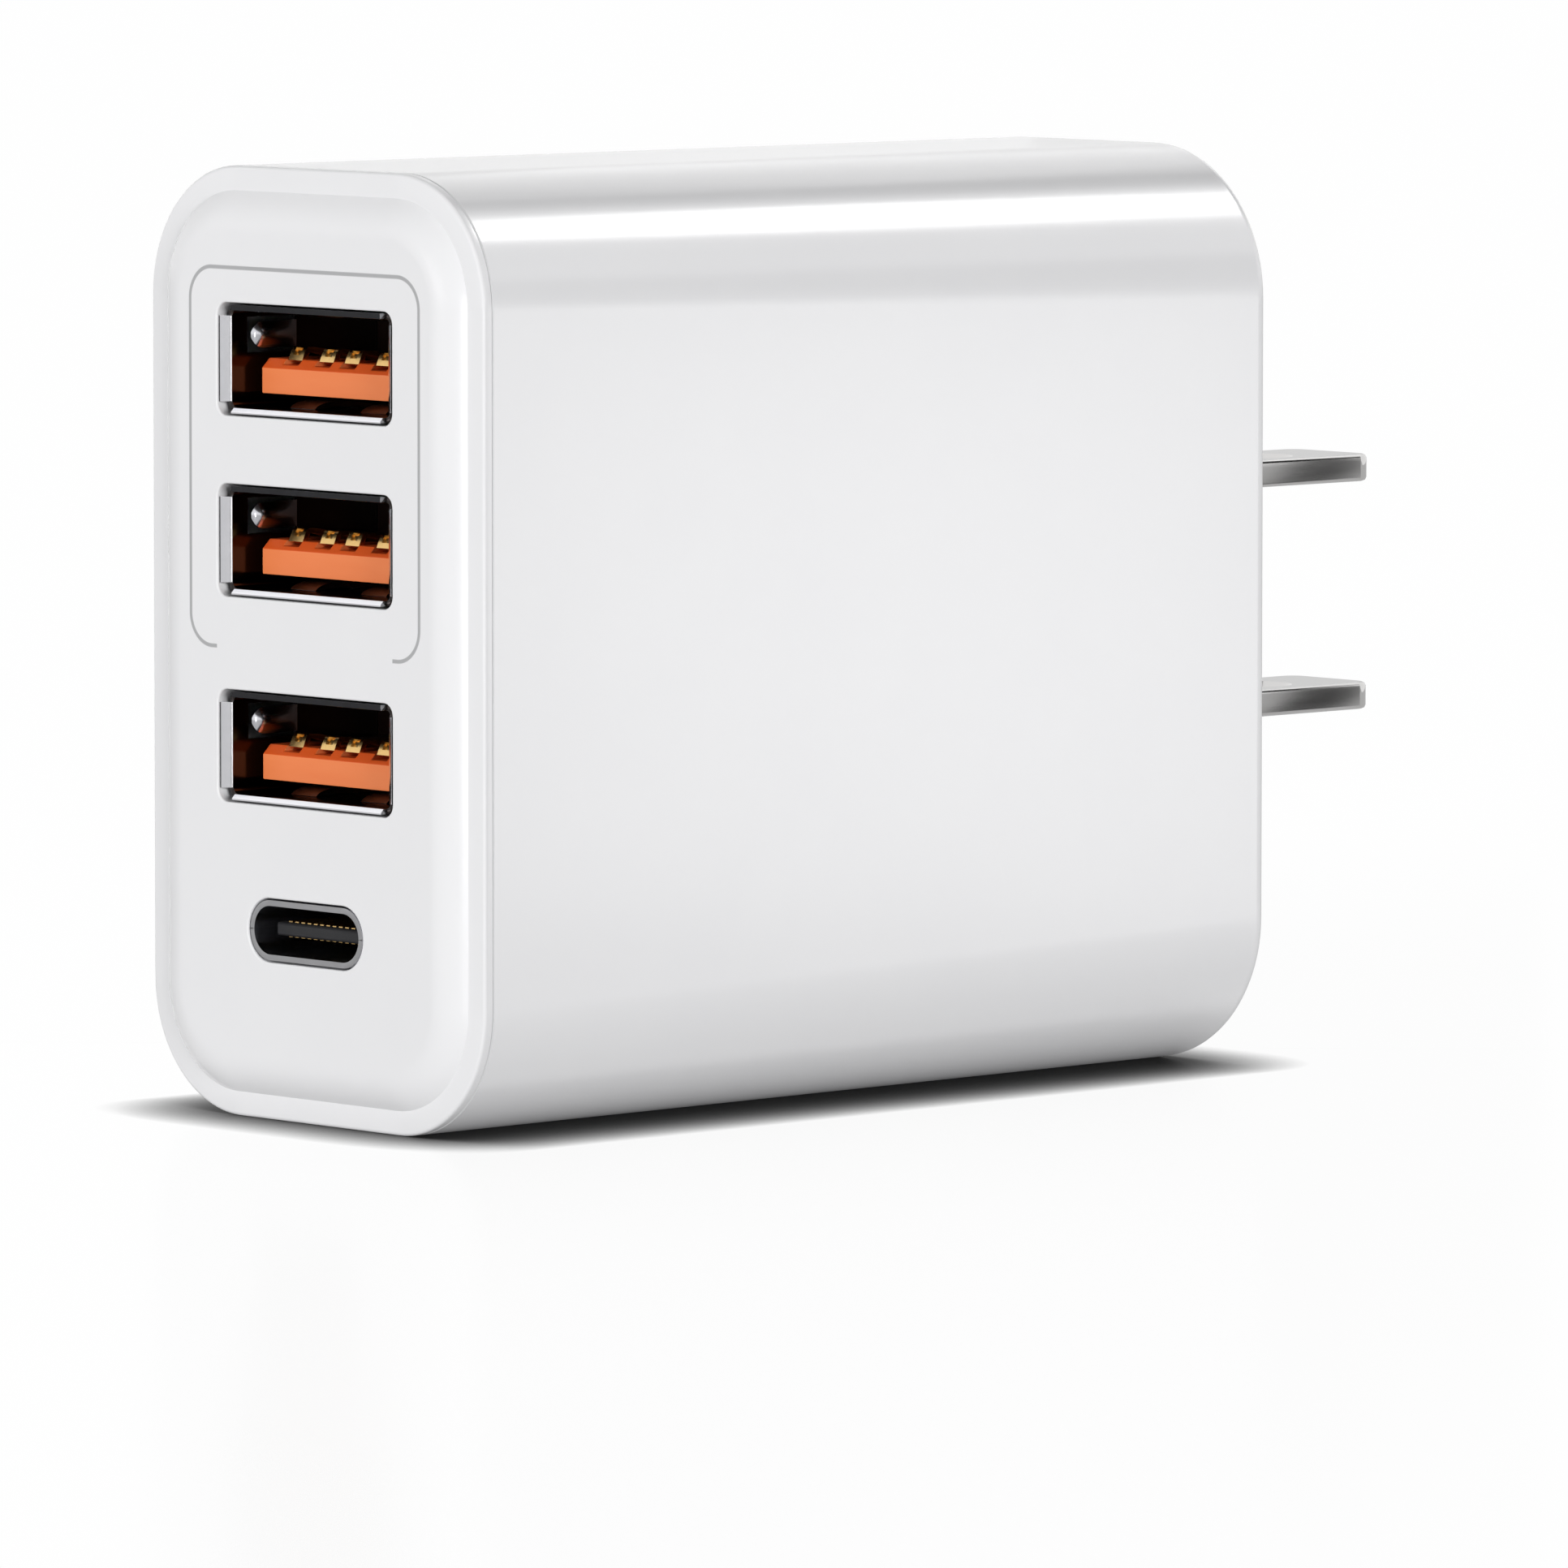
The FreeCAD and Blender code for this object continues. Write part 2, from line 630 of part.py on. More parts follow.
def leaf(body, across, side, front):
    """One leaf in the floor or the roof."""
    profile = sketch_on(body, "YZ_Plane", across)
    corners = bow(front, "Sizes.leaf_length", "Sizes.usb_a_height / 2", "Sizes.leaf_rise")
    outline(profile, tuple((along, f"{side} * ({level})") for along, level in corners))
    pad(body, profile, "Sizes.leaf_width", both_ways=True)


def side_leaves(body):
    """One leaf in each side wall, above the tongue."""
    front = f"-({MOUTH_DEPTH} - Sizes.side_leaf_setback)"
    half = "(Sizes.side_leaf_width / 2 + Sizes.leaf_gap)"
    window = sketch_on(body, "YZ_Plane")
    rectangle(window, front, f"{front} + Sizes.side_leaf_length",
              f"Sizes.side_leaf_level - {half}", f"Sizes.side_leaf_level + {half}")
    pocket(body, window, both_ways=True)
    corners = bow(front, "Sizes.side_leaf_length", "Sizes.usb_a_width / 2", "Sizes.side_leaf_rise")
    profile = sketch_on(body, "XY_Plane", "Sizes.side_leaf_level")
    for side in ("-1", "1"):
        outline(profile, tuple((f"{side} * ({across})", along) for along, across in corners))
    pad(body, profile, "Sizes.side_leaf_width", both_ways=True)


def wide_tongue(label, level):
    """Insulator: a block that closes the shell's rear, and a tongue with four contact grooves."""
    body = new_body(label)
    block = sketch_on(body, "XZ_Plane", PORT_BOARD_FRONT)
    rounded_rectangle(block, "Sizes.usb_a_width - 2 * Sizes.socket_fit",
                      "Sizes.usb_a_height - 2 * Sizes.socket_fit", "Sizes.usb_a_corner")
    pad(body, block, "Sizes.usb_a_base")
    bar = sketch_on(body, "XZ_Plane", PORT_BOARD_FRONT)
    rectangle(bar, "-Sizes.usb_a_tongue_width / 2", "Sizes.usb_a_tongue_width / 2",
              TONGUE_A_LOW, TONGUE_A_TOP)
    pad(body, bar, "Sizes.port_depth - Sizes.usb_a_tongue_setback")
    nose = f"{MOUTH_DEPTH} - Sizes.usb_a_tongue_setback"
    dress(body, "Chamfer", "Sizes.usb_a_tongue_chamfer",
          lambda edge: edge_at_depth(nose)(edge) and near(edge.BoundBox.ZMin, value(TONGUE_A_TOP)))
    grooves = sketch_on(body, "XZ_Plane")
    for across in CONTACT_PLACES:
        rectangle(grooves,
                  f"{across} - Sizes.usb_a_contact_width / 2 - Sizes.usb_a_groove_clearance",
                  f"{across} + Sizes.usb_a_contact_width / 2 + Sizes.usb_a_groove_clearance",
                  GROOVE_FLOOR, TONGUE_A_TOP)
    pocket(body, grooves, reverse=True)
    place(body, level=level)


def wide_contacts(label, level):
    """Four bowed contacts that lie in the tongue's grooves and reach back to the board."""
    body = new_body(label)
    nose = f"-({MOUTH_DEPTH} - Sizes.usb_a_tongue_setback - Sizes.usb_a_contact_nose)"
    crest = f"({nose} + Sizes.usb_a_contact_front)"
    bend = f"({crest} + Sizes.usb_a_contact_bend)"
    board = f"-{PORT_BOARD_FRONT}"
    high = f"{GROOVE_FLOOR} + Sizes.usb_a_contact_rise"
    floor_line = ((board, GROOVE_FLOOR), (bend, GROOVE_FLOOR), (crest, high), (nose, GROOVE_FLOOR))
    roof_line = tuple((along, f"{height} + Sizes.usb_a_contact_thick")
                      for along, height in reversed(floor_line))
    for across in CONTACT_PLACES:
        strip = sketch_on(body, "YZ_Plane", across)
        outline(strip, floor_line + roof_line)
        pad(body, strip, "Sizes.usb_a_contact_width", both_ways=True)
    place(body, level=level)


# Small socket

def small_shell():
    body = new_body("usb_c_shell")
    tube = sketch_on(body, "XZ_Plane", PORT_BOARD_FRONT)
    stadium(tube, SHELL_C_WIDTH, SHELL_C_HEIGHT)
    stadium(tube, "Sizes.usb_c_width", "Sizes.usb_c_height")
    pad(body, tube, "Sizes.port_depth")
    dress(body, "Chamfer", "Sizes.usb_c_mouth_bevel",
          mouth_edge("Sizes.usb_c_width", "Sizes.usb_c_height"))
    place(body, level=SMALL_SOCKET_LEVEL)


def small_tongue():
    body = new_body("usb_c_tongue")
    bar = sketch_on(body, "XZ_Plane", PORT_BOARD_FRONT)
    centred_rectangle(bar, "Sizes.usb_c_tongue_width", "Sizes.usb_c_tongue_thick")
    pad(body, bar, "Sizes.port_depth - Sizes.usb_c_tongue_setback")
    dress(body, "Fillet", "Sizes.usb_c_tongue_round",
          edge_at_depth(f"{MOUTH_DEPTH} - Sizes.usb_c_tongue_setback"))
    block = sketch_on(body, "XZ_Plane", PORT_BOARD_FRONT)
    stadium(block, "Sizes.usb_c_width - 2 * Sizes.socket_fit", "Sizes.usb_c_height - 2 * Sizes.socket_fit")
    pad(body, block, "Sizes.usb_c_base")
    place(body, level=SMALL_SOCKET_LEVEL)


def small_contacts():
    """Two rows of flat strips on the faces of the small tongue."""
    body = new_body("usb_c_contacts")
    root = f"{PORT_BOARD_FRONT} + Sizes.usb_c_base"
    nose = f"{MOUTH_DEPTH} - Sizes.usb_c_tongue_setback - Sizes.usb_c_contact_nose"
    face = "Sizes.usb_c_tongue_thick / 2"
    back = f"{face} + Sizes.usb_c_contact_thick"
    for side in ("1", "-1"):
        row = sketch_on(body, "XZ_Plane", root)
        for index in range(SMALL_CONTACTS_IN_ROW):
            step = index - (SMALL_CONTACTS_IN_ROW - 1) / 2
            across = f"{step} * Sizes.usb_c_contact_pitch"
            rectangle(row, f"{across} - Sizes.usb_c_contact_width / 2",
                      f"{across} + Sizes.usb_c_contact_width / 2", f"{side} * {face}", f"{side} * ({back})")
        pad(body, row, f"{nose} - ({root})")
    place(body, level=SMALL_SOCKET_LEVEL)


# Boards

def port_board():
    body = new_body("port_board")
    panel = sketch_on(body, "XZ_Plane", PORT_BOARD_REAR)
    body_outline(panel, "Sizes.wall + Sizes.port_board_gap")
    pad(body, panel, "Sizes.port_board_thick")


def main_board():
    body = new_body("main_board")
    panel = sketch_on(body, "YZ_Plane", BOARD_UNDERSIDE)
    rectangle(panel, f"-{PORT_BOARD_REAR}", f"-{BOARD_REAR}", f"-{BOARD_TOP}", BOARD_TOP)
    pad(body, panel, "Sizes.main_board_thick")


def insulation_sheet():
    """Film on the side wall, between the ribs and under the main board."""
    film = doc.addObject("Part::Box", "insulation_sheet")
    film.Label = "insulation_sheet"
    pieces.append(film)
    half_height = "(Sizes.board_rib_height - Sizes.board_rib_wall / 2 - Sizes.film_margin)"
    film.setExpression("Length", "Sizes.film_thick")
    film.setExpression("Width", f"{PORT_BOARD_REAR} - {BOARD_REAR} - 2 * Sizes.film_margin")
    film.setExpression("Height", f"2 * {half_height}")
    place(film, "-Sizes.body_width / 2 + Sizes.wall", f"-{PORT_BOARD_REAR} + Sizes.film_margin",
          f"-{half_height}")


def on_board(piece, distance, level):
    """Stand a piece on the main board, so far behind the port board and at a level."""
    place(piece, BOARD_FACE, f"-{PORT_BOARD_REAR} + {distance}", level)


# Transformer, with its legs upright and its bobbin's edges on the board

def core_half(label, side):
    body = new_body(label)
    half_width = "Sizes.core_width / 2"
    inside = f"({half_width} - Sizes.core_leg)"
    centre = "Sizes.core_centre_leg / 2"
    top = "Sizes.core_height / 2"
    under = f"{CORE_WINDOW} / 2"
    right = ((half_width, top), (half_width, "0"), (inside, "0"), (inside, under), (centre, under),
             (centre, "0"))
    left = tuple((f"-{across}", level) for across, level in reversed(right))
    profile = sketch_on(body, "YZ_Plane", TRANSFORMER_AXIS)
    outline(profile, tuple((along, f"{side} * ({level})") for along, level in right + left))
    pad(body, profile, "Sizes.core_thick", both_ways=True)
    on_board(body, "Sizes.transformer_place", "Sizes.transformer_level")


def transformer_bobbin():
    body = new_body("transformer_bobbin")
    hole_depth = "Sizes.core_thick + 2 * Sizes.bobbin_clearance"
    hole_width = "Sizes.core_centre_leg + 2 * Sizes.bobbin_clearance"
    flange_width = "Sizes.core_width - 2 * (Sizes.core_leg + Sizes.bobbin_clearance)"
    height = f"{CORE_WINDOW} - 2 * Sizes.bobbin_clearance"
    tube = sketch_on(body, "XY_Plane")
    centred_rectangle(tube, f"{hole_depth} + 2 * Sizes.bobbin_wall",
                      f"{hole_width} + 2 * Sizes.bobbin_wall", across=TRANSFORMER_AXIS)
    pad(body, tube, height, both_ways=True)
    for side, reverse in (("1", True), ("-1", False)):
        flange = sketch_on(body, "XY_Plane", f"{side} * ({height}) / 2")
        centred_rectangle(flange, "Sizes.bobbin_depth", flange_width, across=TRANSFORMER_AXIS)
        pad(body, flange, "Sizes.bobbin_flange", reverse=reverse)
    hole = sketch_on(body, "XY_Plane")
    centred_rectangle(hole, hole_depth, hole_width, across=TRANSFORMER_AXIS)
    pocket(body, hole, both_ways=True)
    on_board(body, "Sizes.transformer_place", "Sizes.transformer_level")


def transformer_winding():
    body = new_body("transformer_winding")
    fit = "(Sizes.bobbin_clearance + Sizes.bobbin_wall + Sizes.bobbin_clearance)"
    width = "Sizes.core_width - 2 * (Sizes.core_leg + Sizes.winding_margin)"
    height = f"{CORE_WINDOW} - 2 * (Sizes.bobbin_clearance + Sizes.bobbin_flange + Sizes.bobbin_clearance)"
    ring = sketch_on(body, "XY_Plane")
    rounded_rectangle(ring, "Sizes.bobbin_depth - 2 * Sizes.winding_margin", width,
                      "Sizes.winding_corner", across=TRANSFORMER_AXIS)
    centred_rectangle(ring, f"Sizes.core_thick + 2 * {fit}", f"Sizes.core_centre_leg + 2 * {fit}",
                      across=TRANSFORMER_AXIS)
    pad(body, ring, height, both_ways=True)
    on_board(body, "Sizes.transformer_place", "Sizes.transformer_level")


# Round parts, turned about the axis that stands on the board

def capacitor(label, diameter, length, distance, level):
    """Can with a bevelled top edge."""
    body = new_body(label)
    radius = f"{diameter} / 2"
    bevel = "Sizes.can_edge_bevel"
    profile = sketch_on(body, "XY_Plane")
    outline(profile, (("0", "0"), ("0", radius), (f"{length} - {bevel}", radius),
                      (length, f"{radius} - {bevel}"), (length, "0")))
    revolve(body, profile)
    on_board(body, distance, level)


def choke_core():
    body = new_body("choke_core")
    radius = "Sizes.choke_diameter / 2"
    stem = "Sizes.choke_stem / 2"
    top_flange = "Sizes.choke_length - Sizes.choke_flange"
    profile = sketch_on(body, "XY_Plane")
    outline(profile, (("0", "0"), ("0", radius), ("Sizes.choke_flange", radius), ("Sizes.choke_flange", stem),
                      (top_flange, stem), (top_flange, radius), ("Sizes.choke_length", radius),
                      ("Sizes.choke_length", "0")))
    revolve(body, profile)
    choke_place(body)


def choke_winding():
    body = new_body("choke_winding")
    profile = sketch_on(body, "XY_Plane")
    rectangle(profile, "Sizes.choke_flange + Sizes.choke_fit",
              "Sizes.choke_length - Sizes.choke_flange - Sizes.choke_fit",
              "Sizes.choke_stem / 2 + Sizes.choke_fit", "Sizes.choke_diameter / 2 - Sizes.choke_winding_inset")
    revolve(body, profile)
    choke_place(body)


def choke_place(body):
    on_board(body, "Sizes.choke_place", f"-({BOARD_TOP} - Sizes.choke_edge - Sizes.choke_diameter / 2)")


# Other parts on the boards

def mains_fuse():
    body = new_body("mains_fuse")
    block = sketch_on(body, "YZ_Plane")
    centred_rectangle(block, "Sizes.fuse_width", "Sizes.fuse_length")
    pad(body, block, "Sizes.fuse_height")
    dress(body, "Chamfer", "Sizes.fuse_bevel", lambda edge: edge.BoundBox.XMax > TOUCH)
    on_board(body, "Sizes.fuse_place", f"-({BOARD_TOP} - Sizes.fuse_edge - Sizes.fuse_length / 2)")


def safety_capacitor():
    """Ceramic disc on two wire legs."""
    body = new_body("safety_capacitor")
    radius = "Sizes.disc_diameter / 2"
    disc = sketch_on(body, "XY_Plane")
    circle(disc, f"Sizes.disc_leg + {radius}", "0", radius)
    pad(body, disc, "Sizes.disc_thick", both_ways=True)
    dress(body, "Chamfer", "Sizes.disc_bevel", lambda edge: isinstance(edge.Curve, Part.Circle))
    legs = sketch_on(body, "YZ_Plane")
    for side in ("-1", "1"):
        centred_rectangle(legs, "Sizes.disc_leg_width", "Sizes.disc_leg_width",
                          across=f"{side} * Sizes.disc_leg_spacing / 2")
    pad(body, legs, f"Sizes.disc_leg + {radius}")
    on_board(body, "Sizes.disc_place", "Sizes.disc_level")


def chip(label, family, leads):
    """Moulded chip with bevelled top edges; each lead is one strip that runs out on both sides."""
    body = new_body(label)
    size = f"Sizes.{family}"
    strips = sketch_on(body, "YZ_Plane")
    for index in range(leads):
        level = f"{index - (leads - 1) / 2} * {size}_pitch"
        centred_rectangle(strips, f"{size}_span", f"{size}_lead", along=level)
    pad(body, strips, "Sizes.lead_thick")
    block = sketch_on(body, "YZ_Plane", "Sizes.lead_thick / 2")
    centred_rectangle(block, f"{size}_width", f"{size}_length")
    pad(body, block, f"{size}_height - Sizes.lead_thick / 2")
    top = f"{size}_height"
    dress(body, "Chamfer", "Sizes.chip_bevel", lambda edge: near(edge.BoundBox.XMin, value(top)))
    return body


def chips():
    on_board(chip("bridge_rectifier", "bridge", 2), "Sizes.bridge_place", "Sizes.bridge_level")
    on_board(chip("optocoupler", "opto", 2), "Sizes.opto_place", "Sizes.opto_level")
    on_board(chip("primary_controller", "driver", 4), "Sizes.controller_place",
             f"{BOARD_TOP} - Sizes.controller_edge - Sizes.driver_length / 2")
    on_board(chip("sync_rectifier", "driver", 4), "Sizes.rectifier_place", "Sizes.rectifier_level")
    protocol = chip("protocol_chip", "protocol", 5)
    facing_front = FreeCAD.Rotation(FreeCAD.Vector(0, 0, 1), -90)
    protocol.Placement = FreeCAD.Placement(FreeCAD.Vector(), facing_front)
    place(protocol, along=f"-{PORT_BOARD_FRONT}")


def capacitors():
    bulk_distance = f"{PORT_BOARD_REAR} - {BOARD_REAR} - Sizes.bulk_from_rear"
    bulk_level = f"({STRIP_TOP} + Sizes.bulk_gap + Sizes.bulk_diameter / 2)"
    for label, side in (("bulk_capacitor_upper", ""), ("bulk_capacitor_lower", "-")):
        capacitor(label, "Sizes.bulk_diameter", "Sizes.bulk_length", bulk_distance, side + bulk_level)
    for label, level in (("output_capacitor_upper", "Sizes.output_upper_level"),
                         ("output_capacitor_lower", "Sizes.output_lower_level")):
        capacitor(label, "Sizes.output_diameter", "Sizes.output_length", "Sizes.output_place", level)


def build():
    main_housing()
    front_cover()
    blade("upper_blade", "Sizes.blade_pitch / 2")
    blade("lower_blade", "-Sizes.blade_pitch / 2")
    blade_carrier()
    contact_strip("line_spring", "1")
    contact_strip("neutral_spring", "-1")
    for number, level in enumerate(SOCKET_LEVELS, start=1):
        wide_shell(f"usb_a_shell_{number}", level)
        wide_tongue(f"usb_a_tongue_{number}", level)
        wide_contacts(f"usb_a_contacts_{number}", level)
    small_shell()
    small_tongue()
    small_contacts()
    port_board()
    main_board()
    insulation_sheet()
    core_half("core_half_upper", "1")
    core_half("core_half_lower", "-1")
    transformer_bobbin()
    transformer_winding()
    capacitors()
    choke_core()
    choke_winding()
    mains_fuse()
    safety_capacitor()
    chips()
    doc.recompute()


def check():
    """Stop if anything in the document failed or a piece is not a sound solid."""
    for item in doc.Objects:
        if "Invalid" in item.State or "Error" in item.State:
            raise ValueError(f"{item.Label} failed: {item.State}")
    for piece in pieces:
        if piece.Shape.isNull() or not piece.Shape.isValid() or not piece.Shape.Solids:
            raise ValueError(f"{piece.Label} is not a sound solid")


build()
check()
os.makedirs("parts", exist_ok=True)
for piece in pieces:
    piece.Shape.exportStep(f"parts/{piece.Label}.step")
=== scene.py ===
import json
import math
from contextlib import contextmanager

import bmesh
import bpy
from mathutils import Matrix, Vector

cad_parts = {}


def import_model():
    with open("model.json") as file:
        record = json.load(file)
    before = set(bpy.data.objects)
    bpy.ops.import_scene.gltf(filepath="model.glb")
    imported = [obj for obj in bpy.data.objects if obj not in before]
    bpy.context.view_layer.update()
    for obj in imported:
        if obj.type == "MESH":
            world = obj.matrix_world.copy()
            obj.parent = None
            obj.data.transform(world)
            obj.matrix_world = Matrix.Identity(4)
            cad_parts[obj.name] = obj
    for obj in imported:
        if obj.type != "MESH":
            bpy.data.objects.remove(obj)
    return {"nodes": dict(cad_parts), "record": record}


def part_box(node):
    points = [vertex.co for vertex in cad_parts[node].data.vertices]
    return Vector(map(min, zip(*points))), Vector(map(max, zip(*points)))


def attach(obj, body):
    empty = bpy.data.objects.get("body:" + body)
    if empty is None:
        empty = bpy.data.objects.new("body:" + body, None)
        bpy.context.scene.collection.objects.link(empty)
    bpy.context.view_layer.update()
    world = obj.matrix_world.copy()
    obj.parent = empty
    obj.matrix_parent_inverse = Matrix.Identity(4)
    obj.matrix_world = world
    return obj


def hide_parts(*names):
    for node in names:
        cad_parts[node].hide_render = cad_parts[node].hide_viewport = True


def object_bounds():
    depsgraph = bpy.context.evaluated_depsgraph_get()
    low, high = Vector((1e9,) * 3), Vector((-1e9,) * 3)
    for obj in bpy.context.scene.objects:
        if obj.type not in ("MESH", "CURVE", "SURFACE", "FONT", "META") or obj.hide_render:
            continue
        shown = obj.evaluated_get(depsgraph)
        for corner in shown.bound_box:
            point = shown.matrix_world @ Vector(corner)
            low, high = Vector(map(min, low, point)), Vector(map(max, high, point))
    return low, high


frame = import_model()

cad_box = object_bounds()

# Sizes in metres
MM = 0.001
CORNER_RADIUS = 6.9 * MM
BACK_CORNER_RADIUS = 8.2 * MM
CORNER_STEPS = 24
OVAL_STEPS = 16
WALL = 1.8 * MM
BACK_WALL = 2.2 * MM
BACK_EDGE_RADIUS = 0.9 * MM
SEAM_BEVEL = 0.06 * MM
SEAM_GAP = 0.09 * MM
SEAM_DEPTH = 0.4 * MM
RIB_LEVEL = 14.0 * MM
RIB_WALL = 1.4 * MM
FENCE_GAP = 0.1 * MM
FENCE_WALL = 1.0 * MM
FENCE_DEPTH = 2.0 * MM

RIM_THICKNESS = 0.6 * MM
RIM_WIDTH = 1.3 * MM
RIM_EDGE_RADIUS = 0.22 * MM
SHOULDER_RADIUS = 3.0 * MM
SHOULDER_STEPS = 9
LIP_GAP = 0.1 * MM
LIP_WALL = 1.2 * MM
OPENING_GAP = 0.1 * MM
OPENING_EDGE = 0.12 * MM

SHEET = 0.3 * MM
SHEET_EDGE = 0.05 * MM
WIDE_SHELL_CORNER = 0.6 * MM
FLARE = 0.3 * MM
FLARE_DEPTH = 0.4 * MM
INNER_LIP = 0.2 * MM
LEAF_WIDTH = 2.0 * MM
LEAF_LENGTH = 5.0 * MM
LEAF_RISE = 0.4 * MM
LEAF_GAP = 0.25 * MM
LEAF_SPACING = 5.6 * MM
LEAF_SETBACK = 2.0 * MM
LEAF_ROWS = 36
LEAF_BOW_SKEW = 0.63
SIDE_LEAF_WIDTH = 1.4 * MM
SIDE_LEAF_LENGTH = 3.4 * MM
SIDE_LEAF_RISE = 0.5 * MM
SIDE_LEAF_LEVEL = 1.2 * MM
SIDE_LEAF_SETBACK = 1.4 * MM
SIDE_LEAF_CROWN = 0.6
STRIP_COLUMNS = 4
COLUMN_TOLERANCE = 0.1
NOSE_LEAST_WIDTH = 0.2

TONGUE_HALF_WIDTH = 5.55 * MM
TONGUE_THICKNESS = 1.84 * MM
TONGUE_BASE = 2.6 * MM
TONGUE_CHAMFER = 0.5 * MM
TONGUE_EDGE = 0.12 * MM
GROOVE_DEPTH = 0.3 * MM
GROOVE_HALF_WIDTH = 0.61 * MM
CONTACT_PLACES = (-3.5 * MM, -1.0 * MM, 1.0 * MM, 3.5 * MM)
CONTACT_WIDTH = 1.1 * MM
CONTACT_THICKNESS = 0.25 * MM
CONTACT_RISE = 0.7 * MM
CONTACT_FRONT = 0.45 * MM
CONTACT_BEND = 4.0 * MM
CONTACT_DIMPLE = 0.16 * MM
CONTACT_ROWS = 94
DIMPLE_START = 0.2
DIMPLE_END = 0.75

SMALL_TONGUE_HALF_WIDTH = 3.345 * MM
SMALL_TONGUE_THICKNESS = 0.7 * MM
SMALL_TONGUE_BASE = 2.2 * MM
SMALL_TONGUE_EDGE = 0.2 * MM
SMALL_CONTACT_PITCH = 0.5 * MM
SMALL_CONTACT_WIDTH = 0.28 * MM
SMALL_CONTACT_THICKNESS = 0.08 * MM
SMALL_CONTACT_NOSE = 0.9 * SMALL_CONTACT_THICKNESS
SMALL_CONTACTS_IN_ROW = 12

BLADE_WIDTH = 6.35 * MM
BLADE_STOP = 3.0 * MM
BLADE_CORNER = 1.1 * MM
BLADE_EDGE = 0.22 * MM
BLADE_HOLE_RADIUS = 1.6 * MM
BLADE_HOLE_PLACE = 11.9 * MM
BLADE_HOLE_SIDES = 64
HOLE_TOOL_LENGTH = 4 * MM
BLADE_COUNTERSINK = 0.55 * MM
BLADE_SLOT_GAP = 0.08 * MM

# How near counts as touching, the flat left between two bevels of an oval, and how far tools overrun
TOUCH = 0.02 * MM
OVAL_FLAT = TOUCH / 10
CUT_OVERRUN = 1 * MM

# Shares of a direction that lie along an axis, and the angles that count as sharp edges
HALFWAY = 0.5
MOSTLY = 0.99
WHOLLY = 0.999
SOFTENED_ANGLE = math.radians(40)
OPENING_ANGLE = math.radians(60)
BLADE_ANGLE = math.radians(80)
SMOOTH_ANGLE = math.radians(32)

SIDES = (-1, 1)
WIDE_SOCKETS = (1, 2, 3)
# Columns of a strip beside its middle line, as shares of its half width, and how far each falls in a crown
CROWN_FALLS = ((1, 1), (0.5, 0.25))


# Modelling by hand: a start, a choice of faces or edges, an operator

def deselect():
    """Leave no piece selected."""
    bpy.ops.object.select_all(action="DESELECT")


def take(piece):
    """Make one piece the only selected and active one."""
    deselect()
    piece.select_set(True)
    bpy.context.view_layer.objects.active = piece


def named(name):
    """Name the primitive that was just added."""
    piece = bpy.context.object
    piece.name = name
    piece.data.name = name
    return piece


def settle(piece):
    """Put a piece's place, turn and size into its mesh."""
    take(piece)
    bpy.ops.object.transform_apply(location=True, rotation=True, scale=True)


def block(name, low, high):
    """A cube between two corners, as the start of a piece."""
    deselect()
    low = Vector(low)
    high = Vector(high)
    bpy.ops.mesh.primitive_cube_add(size=1, location=(low + high) / 2)
    piece = named(name)
    piece.scale = high - low
    settle(piece)
    return piece


@contextmanager
def editing(piece, mode):
    """Edit mode on the faces, edges or verts of one piece, with nothing selected."""
    take(piece)
    bpy.ops.object.mode_set(mode="EDIT")
    bpy.ops.mesh.select_mode(type=mode)
    bpy.ops.mesh.select_all(action="DESELECT")
    yield
    bpy.ops.object.mode_set(mode="OBJECT")


def pick(piece, kind, test):
    """Select only the faces, edges or verts of the edited piece that pass a test."""
    bpy.ops.mesh.select_all(action="DESELECT")
    shape = bmesh.from_edit_mesh(piece.data)
    chosen = [element for element in getattr(shape, kind) if test(element)]
    if not chosen:
        raise ValueError(f"{piece.name}: nothing to pick")
    for element in chosen:
        element.select_set(True)
    shape.select_flush_mode()
    bmesh.update_edit_mesh(piece.data)


def near(first, second):
    """Whether two places on an axis touch."""
    return abs(first - second) < TOUCH


def along(axis):
    """Test for edges that run along an axis, 0 to 2."""
    def test(edge):
        run = edge.verts[1].co - edge.verts[0].co
        return abs(run[axis]) > MOSTLY * run.length
    return test


def at(axis, place):
    """Test for edges or faces that lie wholly at a place on an axis."""
    def test(element):
        return all(near(vert.co[axis], place) for vert in element.verts)
    return test


def bevel(offset, steps):
    """Round or chamfer the selected edges."""
    bpy.ops.mesh.bevel(offset=offset, segments=steps, profile=0.5, affect="EDGES", clamp_overlap=False)


def extrude(y=0):
    """Draw the selected faces out along Y."""
    bpy.ops.mesh.extrude_region_move(TRANSFORM_OT_translate={"value": (0, y, 0)})


def apply_modifier(piece, kind, **settings):
    """Run one modifier and keep its result in the mesh."""
    take(piece)
    modifier = piece.modifiers.new(kind.lower(), kind)
    for setting, value in settings.items():
        setattr(modifier, setting, value)
    bpy.ops.object.modifier_apply(modifier=modifier.name)


def soften(piece, width, steps=2):
    """Small round on every sharp edge."""
    apply_modifier(piece, "BEVEL", width=width, segments=steps, limit_method="ANGLE",
                   angle_limit=SOFTENED_ANGLE)


def thicken(piece, thickness):
    """Give a sheet its thickness on the inner side."""
    apply_modifier(piece, "SOLIDIFY", thickness=thickness, offset=-1, use_even_offset=True)


def combine(piece, tool, operation):
    """Cut a tool from a piece, or fuse it on, and throw the tool away."""
    apply_modifier(piece, "BOOLEAN", operation=operation, object=tool, solver="EXACT")
    bpy.data.objects.remove(tool)


